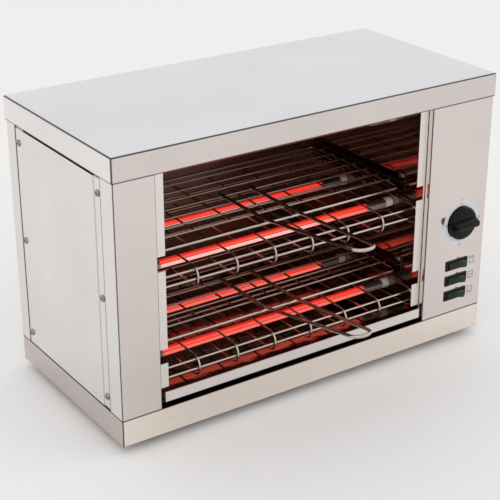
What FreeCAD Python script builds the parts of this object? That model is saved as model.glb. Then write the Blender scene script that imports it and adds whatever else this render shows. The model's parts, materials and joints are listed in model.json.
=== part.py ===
# Countertop bar toaster: two sliding wire racks between three levels of quartz tubes.
# Every piece is drawn in the casing's own frame: x to the right and y to the back, both from
# the casing's middle, and z up from the underside of the base pan. keep() then moves it to
# the part's frame, whose origin is the middle of the whole part's floor area.
import FreeCAD, Part
import math
import os

os.makedirs("parts", exist_ok=True)
Vector = FreeCAD.Vector
alongX = Vector(1, 0, 0)
alongY = Vector(0, 1, 0)
alongZ = Vector(0, 0, 1)

# Driving dimensions, in millimetres

# Casing
caseW = 520.0           # width over the lid
caseD = 250.0           # depth over the lid
shellH = 336.0          # height without the feet
sheet = 1.0             # casing sheet
bendR = 0.6             # inner radius of a bend
lidSkirt = 28.0         # depth of the lid's skirt
lidLap = 1.5            # how far the lid stands out over the body
lidEdgeR = 2.5          # rounding of the lid's edges
baseH = 33.0            # height of the base pan's walls
baseEdgeR = 2.0
sillInset = 1.5         # ends of the base pan's turned-in sill inside the chamber's walls
sillGap = 1.5           # back edge of the sill in front of the floor's apron
leftColumnW = 50.0      # front face of the left column
controlPanelW = 94.0    # front face of the control panel
returnD = 6.9           # depth of the front faces' returns beside the opening
cornerWrap = 26.5       # how far a front corner wraps round the side
tongueD = 17.0          # tongue behind a side panel's edge
jogD = 1.5              # length of a joggle in the sheet
panelSink = 0.5         # side panel's face below the corner posts' faces
stripSink = 0.8         # screw strip's face below the side panel's face
stripW = 13.0           # width of the sunk screw strip at the front
rearWrap = 21.5         # how far the rear panel wraps round the side
panelTopGap = 4.0       # shadow gap between a side panel and the lid
panelFlange = 10.0      # turned-in top edge of a side panel
seatGap = 0.3           # clearance where one sheet piece sits on another
weldGap = 0.1           # clearance between wires that are welded together
lidTopGap = 0.7         # top edges of the posts and rear panel below the lid's underside
cutPast = 1.0           # how far a cut reaches past the face that it opens
holeReach = 3.0         # how far a cut for a hole in thin sheet reaches to either side

# Feet
footH = 10.0
footD = 22.0
footInset = 28.0
footTaper = 1.5
footBore = 5.0
footHeadBore = 10.0
footHeadDepth = 5.0

# Chamber
chamberSheet = 0.8
returnGap = 0.2         # between a front return and the chamber wall's line
chamberTopGap = 24.0    # from the chamber's roof to the top of the lid
flangeW = 12.0          # chamber wall's front flange, as seen in the opening
flangeFootZ = 54.0      # lower end of the front flange
flangeBack = 7.2        # front flange's face behind the casing's front face
backGap = 2.5           # between the back reflector and the rear panel
sheetLap = 4.5          # how far floor, roof and back reach past the chamber walls
floorZ = 34.5           # underside of the chamber floor
floorSheet = 1.0
floorInset = 11.5       # floor's front apron behind the casing's front face
runnerW = 3.0
runnerH = 2.7
runnerInset = 12.0
runnerFrontGap = 3.0    # runner's ends from the floor's ends
runnerBackGap = 6.0
runnerSink = 0.2        # runner's foot in the floor
shieldGap = 19.7        # heat shield, from the chamber's right wall
shieldFoot = 12.0
shieldTopGap = 36.0
shieldInset = 6.0       # shield's upright edges, from the chamber walls' edges

# Levels of the tubes and racks, evenly spaced between the chamber's floor and roof
lowerTubeRise = 24.5    # lowest tubes' axis above the floor
topTubeDrop = 31.0      # top tubes' axis below the roof
rackAboveTube = 27.0
rackLevels = 2
tubeLevels = 3

# Sliding racks
frameWireR = 2.0
crossWireR = 1.4
railInset = 4.8         # rail's centre line from the chamber wall
rackFrontInset = 46.5   # rack's front wire behind the casing's front face
rackBackGap = 19.2      # rack's rear wire from the back reflector
rackCornerR = 9.0
crossWireCount = 7
handleHalfW = 21.5      # handle's legs either side of the rack's middle
handleLap = 90.0        # length of the legs that lies over the rack
handleBendOut = 3.0     # the legs begin to rise and close in this far in front of the rack
handleReach = 116.5     # handle's tip in front of the casing
handleTipHalfW = 12.0
handleTipRises = [25.5, 16.5]   # lower and upper handle, bent by hand
handleBendR = 20.0
handleTipR = 11.4       # bends at the corners of the tip

# Rack guides
guideDepth = 9.0
guideH = 12.3
guideSheet = 0.8
guideFrontPast = 5.0    # guide's front end in front of the rack's front wire
rearEndGap = 7.2        # rear ends of the guides and guards from the back reflector
slideGap = 0.2          # rail above the guide's lower flange
earW = 12.0
earH = 9.0
earInset = 6.0
earRoot = 2.0           # ear's foot below the guide's upper edge
notchH = 17.5           # notch in the front flange, where a rail passes
notchBelow = 3.5        # notch's lower edge below the rail's centre line
notchClear = 0.6

# Guards round the lower two levels of tubes
guardWireR = 1.25
guardBarR = 1.5
guardWireCount = 8
guardSideGap = 4.55     # outermost wires from the chamber walls
guardTopRise = 12.5     # upper run above the tubes' axis
guardDrop = 11.0        # lower run below the tubes' axis
guardFrontInset = 13.25 # guard's front behind the casing's front face
guardBarUpAngle = 60.0
guardBarLowAngle = -10.0
guardRearBarInset = 27.0

# Heating elements
tubeR = 5.0
tubeWall = 1.0
tubeFrontInset = 69.5   # front tubes behind the casing's front face
tubeBackGap = 83.2      # rear tubes from the back reflector
tubeEndPast = 6.5       # tube's end past the chamber wall's inner face
capR = 6.0
capLength = 38.5        # cap's reach into the chamber
capTipR = 5.5
capTaper = 3.0          # length of the cap's tapered tip
capPast = 8.5           # cap's end past the chamber wall's inner face
collarR = 9.0
collarT = 3.0
capFit = 0.05           # radial clearance of the tube in its cap
wallHoleFit = 0.3
coilR = 3.4
leadR = 1.0
leadHoleFit = 0.2
leadEndPast = 14.5      # element lead's end past the chamber wall's inner face
busT = 1.5
busHalfW = 5.0
busPast = 8.0

# Crumb tray
trayClear = 4.5         # tray's wall from the chamber wall, on the left
trayClearRight = 3.5
traySheet = 0.8
trayWallH = 7.5
trayBackGap = 9.2       # tray from the back reflector
trayLip = 8.0           # tray's floor in front of its side walls, as far as the strip
trayStripInset = 2.5    # strip's front face behind the casing's front face
trayStripH = 12.0
trayStripT = 1.0
trayStripIn = 0.5       # strip's left end inside the tray's left side
trayStripOut = 1.5      # strip's right end past the tray's right side

# Timer
timerFromRight = 39.7   # timer's axis from the casing's right face
timerZ = 153.4
timerBody = 44.0
timerDepth = 38.0
bushR = 5.0
bushFit = 0.2
bushOut = 4.0
nutAcross = 14.0
nutT = 2.4
shaftR = 3.0
shaftFit = 0.05
shaftIn = 25.0
knobGap = 1.0           # knob's back from the panel
knobSkirtR = 21.0
knobSkirtT = 4.6
knobBodyR = 20.0
knobBodyH = 6.6
knobH = 15.0
knobGripW = 11.0
knobGripL = 40.6
knobEdgeR = 1.2
knobGripEdgeR = 2.4
knobRecessR = 10.0
knobRecessD = 5.0
knobBoreEnd = 3.0

# Rocker switches
rockerFromRight = 42.0  # switches' middle from the casing's right face
rockerTopZ = 98.0
rockerPitch = 20.5
rockerCount = 3
bezelW = 34.6
bezelH = 12.8
bezelT = 1.6
bezelChamfer = 0.5
housingW = 31.0
housingH = 11.0
housingD = 20.0
housingFit = 0.2
cavityW = 28.4
cavityH = 9.2
cavityD = 13.0
paddleHalfW = 12.2
paddleWaist = 10.4      # half widths of the paddle at its pivot and at its back
paddleBackHalfW = 5.5
paddleWaistOut = 1.0    # waist in front of the pivot
paddleH = 8.6
paddleTilt = 11.0       # degrees from level to either end of the rocker's travel
pivotIn = 6.0           # rocker's pivot behind the bezel's face
paddleRise = 7.5        # rocker's middle in front of its pivot
paddleBackIn = 4.0
pivotR = 1.0
pivotFit = 0.05
pivotEnd = 0.7

# Fasteners
screwR = 2.0
screwFit = 0.15
screwHeadR = 4.0
screwHeadH = 1.6
screwHeadEdgeR = 1.1
screwLength = 8.0       # below the head
crossSlotW = 0.9
crossSlotL = 4.4
crossSlotD = 0.9
sideScrewDrop = 21.0    # top side screws below the lid's skirt
sideScrewRise = 15.0    # bottom side screws above the base pan
rearStripScrewInset = 5.5
lidScrewFromSide = 60.0
lidScrewUp = 14.0       # above the lower edge of the lid's skirt
nutH = 2.8
nutFlats = 7.0

# Supply
glandFromRight = 43.5
glandZ = 66.0
glandThreadR = 10.0
glandFit = 0.2
glandFlats = 23.4
glandFlangeT = 5.0
glandDomeR = 11.0
glandDomeL = 9.0
glandDomeTaper = 3.0
glandBoreR = 4.5
glandInside = 9.0
glandNutT = 4.0
blockGap = 1.0          # terminal block from the heat shield's foot
blockFromBack = 53.5    # terminal block's middle from the casing's rear face
blockW = 44.0
blockD = 20.0
blockH = 16.0
blockWays = 3
wellR = 2.6             # screw wells in the terminal block
wellD = 6.0
earthFromRight = 15.5
earthFromBack = 39.5
earthH = 14.0
wireR = 1.3
leadHoleR = 3.5         # holes for the leads in the heat shield
leadHoleY = 30.0
leadHoleZ = 14.0

# Vents
slotW = 4.0
slotL = 46.0
slotPitch = 14.0
panSlotPitch = 9.8
panSlotCount = 7
panVentSpread = 80.0    # pan's vents either side of the chamber's middle
sideSlotCount = 7
sideVentShift = 4.0     # side vents' middle behind the casing's middle
sideVentRows = [90.0, 200.0]    # lower ends of the slots
rearSlotCount = 8
rearVentShift = -9.0    # rear vents' middle from the gland's axis
rearVentRows = [180.0, 240.0]

# Lines and faces that several pieces share
lidX = caseW / 2
lidY = caseD / 2
bodyX = lidX - lidLap
bodyY = lidY - lidLap
lidInnerZ = shellH - sheet
lidLowZ = shellH - lidSkirt
postTopZ = lidInnerZ - lidTopGap
postFootZ = baseH + seatGap
sidePanelX = bodyX - panelSink
stripX = sidePanelX - stripSink
frontTongueX = stripX - sheet - seatGap
rearTongueX = sidePanelX - sheet - seatGap
stripFrontY = -bodyY + cornerWrap + jogD
stripBackY = stripFrontY + stripW
rearSeamY = bodyY - rearWrap
wallLeft = -bodyX + leftColumnW + returnGap + chamberSheet
wallRight = bodyX - controlPanelW - returnGap - chamberSheet
chamberMidX = (wallLeft + wallRight) / 2
flangeY = -bodyY + flangeBack
reflectorY = bodyY - sheet - backGap - chamberSheet
wallBackY = reflectorY - seatGap
floorTopZ = floorZ + floorSheet
wallFootZ = floorTopZ + seatGap
roofZ = shellH - chamberTopGap
wallTopZ = roofZ - seatGap
panInnerZ = sheet + seatGap
railLeft = wallLeft + railInset
railRight = wallRight - railInset
lowerTubeZ = floorTopZ + lowerTubeRise
levelPitch = (roofZ - topTubeDrop - lowerTubeZ) / (tubeLevels - 1)
rackZ = [lowerTubeZ + rackAboveTube + levelPitch * level for level in range(rackLevels)]
tubeZ = [lowerTubeZ + levelPitch * level for level in range(tubeLevels)]
panelFaceY = -bodyY
tubeFrontY = panelFaceY + tubeFrontInset
tubeBackY = reflectorY - tubeBackGap
tubeRows = [tubeFrontY, tubeBackY]
rackFrontY = panelFaceY + rackFrontInset
rackBackY = reflectorY - rackBackGap
handleTipY = panelFaceY - handleReach
guideFrontY = rackFrontY - guideFrontPast
guideBackY = reflectorY - rearEndGap
guardPitch = (wallRight - wallLeft - 2 * guardSideGap) / (guardWireCount - 1)
guardFrontY = panelFaceY + guardFrontInset
guardBackY = reflectorY - rearEndGap
sideScrewTopZ = lidLowZ - sideScrewDrop
sideScrewLowZ = baseH + sideScrewRise
sideScrewHeights = [sideScrewTopZ, (sideScrewTopZ + sideScrewLowZ) / 2, sideScrewLowZ]
lidScrewX = lidX - lidScrewFromSide
timerX = bodyX - timerFromRight
rockerX = bodyX - rockerFromRight
glandX = bodyX - glandFromRight
trayFloorZ = floorTopZ + runnerH + seatGap
shieldX = wallRight + chamberSheet + shieldGap
blockX = shieldX + shieldFoot + blockGap + blockW / 2
blockY = bodyY - blockFromBack
earthX = bodyX - earthFromRight
earthY = bodyY - earthFromBack
elementLeadY = tubeFrontY - busPast / 2

# The part's frame: its origin is in the middle of the space between the rack handles' tips
# and the cable gland, and on the floor.
frontReach = -handleTipY + frameWireR
backReach = bodyY + seatGap + glandFlangeT + glandDomeL
caseY = (frontReach - backReach) / 2


# Writes one piece, or a group of like pieces, to its file.
def keep(name, *solids):
    shape = solids[0] if len(solids) == 1 else Part.makeCompound(list(solids))
    shape = shape.copy()
    shape.translate(Vector(0, caseY, footH))
    shape.exportStep("parts/" + name + ".step")
    count = len(shape.Solids)
    print(name, count, round(shape.Volume), "ok" if shape.isValid() else "not valid")


def box(x0, x1, y0, y1, z0, z1):
    return Part.makeBox(x1 - x0, y1 - y0, z1 - z0, Vector(x0, y0, z0))


def rod(start, end, radius):
    return Part.makeCylinder(radius, (end - start).Length, start, end - start)


def unit(v):
    return v * (1 / v.Length)


# Edges of a path with an arc of the given radius at each inner corner.
def roundedPath(points, radii):
    edges = []
    last = points[0]
    for i in range(1, len(points) - 1):
        into = unit(points[i] - points[i - 1])
        out = unit(points[i + 1] - points[i])
        turn = into.getAngle(out)
        start = points[i] - into * (radii[i] * math.tan(turn / 2))
        if (start - last).Length > 1e-6:
            edges.append(Part.LineSegment(last, start).toShape())
        last = start
        if radii[i] > 0:
            end = points[i] + out * (radii[i] * math.tan(turn / 2))
            inward = unit(out - into)
            middle = points[i] + inward * (radii[i] / math.cos(turn / 2) - radii[i])
            edges.append(Part.Arc(start, middle, end).toShape())
            last = end
    edges.append(Part.LineSegment(last, points[-1]).toShape())
    return edges


# Corners of a line that runs beside the given one, to its left as seen against the normal.
def besideLine(points, side, normal):
    beside = []
    for i, corner in enumerate(points):
        before = points[i] - points[i - 1] if i > 0 else points[1] - points[0]
        after = points[i + 1] - points[i] if i < len(points) - 1 else before
        leftBefore = normal.cross(unit(before))
        leftAfter = normal.cross(unit(after))
        mitre = unit(leftBefore + leftAfter)
        beside.append(corner + mitre * (side / mitre.dot(leftBefore)))
    return beside


# A bent sheet: the face given by its corners, a thickness to the left (+) or right (-), and
# a length along the normal.
def bentSheet(points, thickness, normal, length, innerR=bendR):
    faceR = [0.0]
    backR = [0.0]
    for i in range(1, len(points) - 1):
        cross = (points[i] - points[i - 1]).cross(points[i + 1] - points[i]).dot(normal)
        backInside = cross * thickness > 0
        faceR.append(innerR + abs(thickness) if backInside else innerR)
        backR.append(innerR if backInside else innerR + abs(thickness))
    faceR.append(0.0)
    backR.append(0.0)
    back = besideLine(points, thickness, normal)
    edges = roundedPath(points, faceR)
    edges.append(Part.LineSegment(points[-1], back[-1]).toShape())
    edges.extend(roundedPath(list(reversed(back)), list(reversed(backR))))
    edges.append(Part.LineSegment(back[0], points[0]).toShape())
    wire = Part.Wire(Part.__sortEdges__(edges))
    return Part.Face(wire).extrude(normal * length)


# A round wire along a path of straight runs and arcs.
def bentWire(points, radii, radius):
    edges = roundedPath(points, radii)
    path = Part.Wire(edges)
    along = points[1] - points[0]
    ring = Part.Wire(Part.Circle(points[0], along, radius).toShape())
    pipe = Part.BRepOffsetAPI.MakePipeShell(path)
    pipe.add(ring)
    pipe.build()
    pipe.makeSolid()
    return pipe.shape()


def mirrorX(shape):
    return shape.mirror(Vector(0, 0, 0), alongX)


# A box with its upright edges rounded, and its top or bottom edges too.
def roundedBox(x, y, z0, z1, radius, endZ):
    solid = box(-x, x, -y, y, z0, z1)
    rounded = []
    for edge in solid.Edges:
        ends = [vertex.Point.z for vertex in edge.Vertexes]
        upright = abs(ends[0] - ends[1]) > 1
        if upright or abs(ends[0] - endZ) < 1e-6:
            rounded.append(edge)
    return solid.makeFillet(radius, rounded)


def hexPrism(centre, axis, flats, length):
    corner = flats / math.sqrt(3)
    side = alongZ if abs(axis.z) < 0.5 else alongX
    across = axis.cross(side)
    points = []
    for k in range(7):
        turn = math.radians(60 * k)
        points.append(centre + side * (corner * math.cos(turn)) + across * (corner * math.sin(turn)))
    return Part.Face(Part.makePolygon(points)).extrude(axis * length)


# A dome-headed screw. Its head sits on the face at the point given, and faces outward.
def domeScrew(seat, outward, length):
    foot = seat + outward * weldGap
    head = rod(foot, foot + outward * screwHeadH, screwHeadR)
    top = [edge for edge in head.Edges if (edge.CenterOfMass - foot).dot(outward) > screwHeadH - 1e-6]
    head = head.makeFillet(screwHeadEdgeR, top)
    side = alongZ if abs(outward.z) < 0.5 else alongX
    for direction in (side, outward.cross(side)):
        across = outward.cross(direction)
        corner = foot + outward * (screwHeadH - crossSlotD)
        corner = corner - direction * (crossSlotL / 2) - across * (crossSlotW / 2)
        floor = [corner, corner + direction * crossSlotL,
                 corner + direction * crossSlotL + across * crossSlotW,
                 corner + across * crossSlotW, corner]
        head = head.cut(Part.Face(Part.makePolygon(floor)).extrude(outward * screwHeadH))
    return head.fuse(rod(foot - outward * length, foot, screwR)).removeSplitter()


def screwHole(seat, outward):
    reach = outward * (screwLength + cutPast)
    return rod(seat - reach, seat + reach, screwR + screwFit)


# Places of the casing screws, each with its face and the way its head looks.
def sideScrewSeats():
    seats = []
    for sign in (-1, 1):
        for z in sideScrewHeights:
            frontY = (stripFrontY + stripBackY) / 2
            seats.append((Vector(sign * stripX, frontY, z), Vector(sign, 0, 0)))
            rearY = rearSeamY - jogD - rearStripScrewInset
            seats.append((Vector(sign * sidePanelX, rearY, z), Vector(sign, 0, 0)))
    return seats


def lidScrewSeats():
    height = lidLowZ + lidScrewUp
    return [(Vector(sign * lidScrewX, lidY, height), alongY) for sign in (-1, 1)]


def cutHoles(shape, seats):
    for seat, outward in seats:
        shape = shape.cut(screwHole(seat, outward))
    return shape


# Lower ends of a row of slots with the given middle
def slotRow(middle, count, pitch):
    return [middle + (k - (count - 1) / 2) * pitch - slotW / 2 for k in range(count)]


# Base pan, with its vents and the holes for the feet
footX = bodyX - footInset
footY = bodyY - footInset
footPlaces = [Vector(sx * footX, sy * footY, 0) for sx in (-1, 1) for sy in (-1, 1)]


def basePan():
    pan = roundedBox(bodyX, bodyY, 0, baseH + baseEdgeR, baseEdgeR, 0)
    hollow = roundedBox(bodyX - sheet, bodyY - sheet, sheet, baseH + baseEdgeR, baseEdgeR - sheet, sheet)
    pan = pan.cut(hollow).cut(box(-bodyX, bodyX, -bodyY, bodyY, baseH, baseH + baseEdgeR + cutPast))
    sill = box(wallLeft + sillInset, wallRight - sillInset, -bodyY, floorInset - sillGap - bodyY,
               baseH - sheet, baseH)
    pan = pan.fuse(sill).removeSplitter()
    for place in footPlaces:
        pan = pan.cut(rod(place - alongZ, place + alongZ * holeReach, screwR + screwFit))
    middles = [chamberMidX - panVentSpread, chamberMidX + panVentSpread, (shieldX + bodyX) / 2]
    for middle in middles:
        for x in slotRow(middle, panSlotCount, panSlotPitch):
            pan = pan.cut(box(x, x + slotW, -slotL / 2, slotL / 2, -cutPast, sheet + cutPast))
    stud = Vector(earthX, earthY, 0)
    return pan.cut(rod(stud - alongZ, stud + alongZ * holeReach, screwR + screwFit))


def foot(place):
    low = place - alongZ * footH
    body = Part.makeCone(footD / 2 - footTaper, footD / 2, footH, low, alongZ)
    body = body.cut(rod(low - alongZ, place + alongZ, footBore / 2))
    return body.cut(rod(low - alongZ, low + alongZ * footHeadDepth, footHeadBore / 2))


def footScrew(place):
    head = place - alongZ * (footH - footHeadDepth)
    screw = domeScrew(head, Vector(0, 0, -1), footH - footHeadDepth + panInnerZ + nutH + seatGap)
    nut = hexPrism(place + alongZ * panInnerZ, alongZ, nutFlats, nutH)
    nut = nut.cut(rod(place, place + alongZ * (panInnerZ + nutH + cutPast), screwR + weldGap))
    return [screw, nut]


keep("base_pan", basePan())
keep("rubber_feet", *[foot(place) for place in footPlaces])
keep("foot_screws", *[piece for place in footPlaces for piece in footScrew(place)])


# Lid
def topCover():
    lid = roundedBox(lidX, lidY, lidLowZ - lidEdgeR, shellH, lidEdgeR, shellH)
    hollow = roundedBox(lidX - sheet, lidY - sheet, lidLowZ - lidEdgeR, lidInnerZ,
                        lidEdgeR - sheet, lidInnerZ)
    lid = lid.cut(hollow)
    lid = lid.cut(box(-lidX, lidX, -lidY, lidY, lidLowZ - lidEdgeR - cutPast, lidLowZ))
    return cutHoles(lid, lidScrewSeats())


keep("top_cover", topCover())


# Front corner posts: the left column and the control panel are the same bent form
def cornerPost(sign, faceW):
    innerX = bodyX - faceW
    points = [Vector(sign * innerX, -bodyY + returnD, 0),
              Vector(sign * innerX, -bodyY, 0),
              Vector(sign * bodyX, -bodyY, 0),
              Vector(sign * bodyX, -bodyY + cornerWrap, 0),
              Vector(sign * frontTongueX, -bodyY + cornerWrap + jogD, 0),
              Vector(sign * frontTongueX, -bodyY + cornerWrap + jogD + tongueD, 0)]
    points = [point + alongZ * postFootZ for point in points]
    post = bentSheet(points, sign * sheet, alongZ, postTopZ - postFootZ)
    return cutHoles(post, sideScrewSeats())


def controlPanel():
    panel = cornerPost(1, controlPanelW)
    bush = Vector(timerX, panelFaceY, timerZ)
    panel = panel.cut(rod(bush - alongY, bush + alongY * holeReach, bushR + bushFit))
    for k in range(rockerCount):
        z = rockerTopZ - k * rockerPitch
        halfW = housingW / 2 + housingFit
        halfH = housingH / 2 + housingFit
        panel = panel.cut(box(rockerX - halfW, rockerX + halfW, panelFaceY - cutPast,
                              panelFaceY + sheet + cutPast, z - halfH, z + halfH))
    return panel


keep("front_left_column", cornerPost(-1, leftColumnW))
keep("control_panel", controlPanel())


# Side panels, with a sunk strip for the front screws and a top edge turned in between the
# tongues of the corner post and the rear panel
def sidePanel():
    topZ = lidLowZ - panelTopGap
    points = [Vector(sidePanelX, rearSeamY - jogD, postFootZ),
              Vector(sidePanelX, stripBackY + jogD, postFootZ),
              Vector(stripX, stripBackY, postFootZ),
              Vector(stripX, stripFrontY, postFootZ)]
    panel = bentSheet(points, -sheet, alongZ, topZ - postFootZ, 0.2)
    flange = box(sidePanelX - panelFlange, sidePanelX - sheet / 2, stripFrontY + tongueD + seatGap,
                 rearSeamY - jogD - tongueD - seatGap, topZ - sheet, topZ)
    panel = panel.fuse(flange).removeSplitter()
    return cutHoles(panel, sideScrewSeats())


def ventedSidePanel():
    panel = sidePanel()
    for row in sideVentRows:
        for y in slotRow(sideVentShift, sideSlotCount, slotPitch):
            panel = panel.cut(box(sidePanelX - sheet - cutPast, sidePanelX + cutPast,
                                  y, y + slotW, row, row + slotL))
    return panel


keep("left_side_panel", mirrorX(sidePanel()))
keep("right_side_panel", ventedSidePanel())


# Rear panel, with its vents and the cable gland's hole
def rearPanel():
    side = [Vector(rearTongueX, rearSeamY - jogD - tongueD, postFootZ),
            Vector(rearTongueX, rearSeamY - jogD + seatGap, postFootZ),
            Vector(bodyX, rearSeamY + seatGap, postFootZ),
            Vector(bodyX, bodyY, postFootZ)]
    other = [Vector(-point.x, point.y, point.z) for point in reversed(side)]
    panel = bentSheet(side + other, sheet, alongZ, postTopZ - postFootZ, 0.3)
    gland = Vector(glandX, bodyY, glandZ)
    panel = panel.cut(rod(gland - alongY * holeReach, gland + alongY, glandThreadR + glandFit))
    for row in rearVentRows:
        for x in slotRow(glandX + rearVentShift, rearSlotCount, slotPitch):
            panel = panel.cut(box(x, x + slotW, bodyY - sheet - cutPast, bodyY + cutPast, row, row + slotL))
    panel = cutHoles(panel, sideScrewSeats())
    return cutHoles(panel, lidScrewSeats())


keep("rear_panel", rearPanel())
casingSeats = sideScrewSeats() + lidScrewSeats()
keep("casing_screws", *[domeScrew(seat, outward, screwLength) for seat, outward in casingSeats])


# Chamber walls, floor, roof and back
def earPlaces():
    return [guideFrontY + earInset, guideBackY - earInset]


def guideEarZ(level):
    return rackZ[level] - frameWireR - slideGap - guideSheet + guideH + earH / 2


def chamberWall(inner, sign):
    face = inner - sign * chamberSheet
    points = [Vector(inner + sign * flangeW, flangeY, wallFootZ),
              Vector(face, flangeY, wallFootZ),
              Vector(face, wallBackY, wallFootZ)]
    wall = bentSheet(points, -sign * chamberSheet, alongZ, wallTopZ - wallFootZ, 0.3)
    edge = inner + sign * (flangeW + cutPast)
    low = min(inner, edge)
    high = max(inner, edge)
    frontY = flangeY - cutPast
    behindY = flangeY + chamberSheet + notchClear
    wall = wall.cut(box(low, high, frontY, behindY, 0, flangeFootZ))
    for z in rackZ:
        notch = inner + sign * (railInset - frameWireR - notchClear)
        low = min(notch, edge)
        high = max(notch, edge)
        wall = wall.cut(box(low, high, frontY, behindY, z - notchBelow, z - notchBelow + notchH))
    for z in tubeZ:
        for y in tubeRows:
            place = Vector(inner, y, z)
            wall = wall.cut(rod(place - alongX * holeReach, place + alongX * holeReach, capR + wallHoleFit))
    for level in range(rackLevels):
        for y in earPlaces():
            place = Vector(inner, y, guideEarZ(level))
            wall = wall.cut(rod(place - alongX * holeReach, place + alongX * holeReach, screwR + screwFit))
    return wall


def chamberFloor():
    frontY = -bodyY + floorInset
    backY = reflectorY - seatGap - chamberSheet
    points = [Vector(wallLeft - sheetLap, frontY, panInnerZ),
              Vector(wallLeft - sheetLap, frontY, floorTopZ),
              Vector(wallLeft - sheetLap, backY, floorTopZ),
              Vector(wallLeft - sheetLap, backY, panInnerZ)]
    floor = bentSheet(points, -floorSheet, alongX, wallRight - wallLeft + 2 * sheetLap)
    for x in (wallLeft + runnerInset, wallRight - runnerInset - runnerW):
        runner = box(x, x + runnerW, frontY + runnerFrontGap, backY - runnerBackGap,
                     floorTopZ - runnerSink, floorTopZ + runnerH)
        floor = floor.fuse(runner)
    return floor.removeSplitter()


keep("chamber_left_wall", chamberWall(wallLeft, 1))
keep("chamber_right_wall", chamberWall(wallRight, -1))
keep("chamber_floor", chamberFloor())
keep("top_reflector", box(wallLeft - sheetLap, wallRight + sheetLap, flangeY, wallBackY,
                          roofZ, roofZ + chamberSheet))
keep("back_reflector", box(wallLeft - sheetLap, wallRight + sheetLap, reflectorY,
                           reflectorY + chamberSheet, wallFootZ, wallTopZ))


# Heat shield between the chamber and the controls
def heatShield():
    frontY = flangeY + shieldInset
    points = [Vector(shieldX + shieldFoot, frontY, panInnerZ),
              Vector(shieldX, frontY, panInnerZ),
              Vector(shieldX, frontY, shellH - shieldTopGap)]
    shield = bentSheet(points, chamberSheet, alongY, wallBackY - shieldInset - frontY)
    holes = [Vector(shieldX, leadHoleY, leadHoleZ)]
    holes += [Vector(shieldX, elementLeadY, z) for z in tubeZ]
    for place in holes:
        shield = shield.cut(rod(place - alongX * holeReach, place + alongX * holeReach, leadHoleR))
    return shield


keep("heat_shield", heatShield())


# Rack guides
def rackGuide(inner, sign, level):
    lowZ = rackZ[level] - frameWireR - slideGap - guideSheet
    web = inner + sign * seatGap
    points = [Vector(inner + sign * guideDepth, guideFrontY, lowZ),
              Vector(web, guideFrontY, lowZ),
              Vector(web, guideFrontY, lowZ + guideH),
              Vector(inner + sign * guideDepth, guideFrontY, lowZ + guideH)]
    guide = bentSheet(points, sign * guideSheet, alongY, guideBackY - guideFrontY, 0.3)
    for y in earPlaces():
        earLow = min(web, web + sign * guideSheet)
        ear = box(earLow, earLow + guideSheet, y - earW / 2, y + earW / 2,
                  lowZ + guideH - earRoot, lowZ + guideH + earH)
        guide = guide.fuse(ear)
        place = Vector(inner, y, guideEarZ(level))
        guide = guide.cut(rod(place - alongX * holeReach, place + alongX * holeReach, screwR + screwFit))
    return guide.removeSplitter()


levelNames = ["lower", "upper"]
for level in range(rackLevels):
    keep(levelNames[level] + "_left_rack_guide", rackGuide(wallLeft, 1, level))
    keep(levelNames[level] + "_right_rack_guide", rackGuide(wallRight, -1, level))

guideScrews = []
for level in range(rackLevels):
    for inner, sign in ((wallLeft, 1), (wallRight, -1)):
        for y in earPlaces():
            seat = Vector(inner + sign * (seatGap + guideSheet), y, guideEarZ(level))
            guideScrews.append(domeScrew(seat, Vector(sign, 0, 0), screwLength))
keep("guide_screws", *guideScrews)


# Sliding racks: a closed wire frame, the wires that carry the food, and a hairpin handle
def rackFrame(z):
    midX = (railLeft + railRight) / 2
    points = [Vector(midX, rackFrontY, z),
              Vector(railRight, rackFrontY, z),
              Vector(railRight, rackBackY, z),
              Vector(railLeft, rackBackY, z),
              Vector(railLeft, rackFrontY, z),
              Vector(midX, rackFrontY, z)]
    radii = [0, rackCornerR, rackCornerR, rackCornerR, rackCornerR, 0]
    return bentWire(points, radii, frameWireR)


def crossWireZ(z):
    return z + frameWireR + weldGap + crossWireR


def rackWires(z):
    wires = []
    pitch = (rackBackY - rackFrontY) / (crossWireCount + 1)
    for k in range(crossWireCount):
        y = rackFrontY + pitch * (k + 1)
        wires.append(rod(Vector(railLeft - frameWireR, y, crossWireZ(z)),
                         Vector(railRight + frameWireR, y, crossWireZ(z)), crossWireR))
    return wires


def rackHandle(z, tipRise):
    legZ = crossWireZ(z) + crossWireR + weldGap + frameWireR
    left = [Vector(chamberMidX - handleHalfW, rackFrontY + handleLap, legZ),
            Vector(chamberMidX - handleHalfW, rackFrontY - handleBendOut, legZ),
            Vector(chamberMidX - handleTipHalfW, handleTipY, legZ + tipRise)]
    right = [Vector(2 * chamberMidX - point.x, point.y, point.z) for point in reversed(left)]
    radii = [0, handleBendR, handleTipR, handleTipR, handleBendR, 0]
    return bentWire(left + right, radii, frameWireR)


for level, z in enumerate(rackZ):
    keep(levelNames[level] + "_rack_frame", rackFrame(z))
    keep(levelNames[level] + "_rack_wires", *rackWires(z))
    keep(levelNames[level] + "_rack_handle", rackHandle(z, handleTipRises[level]))


# Guards: hooked wires round a level's tubes, on bars that span the chamber
def guardWires(z):
    wires = []
    bend = (guardTopRise + guardDrop) / 2
    for k in range(guardWireCount):
        x = chamberMidX + (k - (guardWireCount - 1) / 2) * guardPitch
        points = [Vector(x, guardBackY, z + guardTopRise),
                  Vector(x, guardFrontY, z + guardTopRise),
                  Vector(x, guardFrontY, z - guardDrop),
                  Vector(x, guardBackY, z - guardDrop)]
        wires.append(bentWire(points, [0, bend, bend, 0], guardWireR))
    return wires


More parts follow.
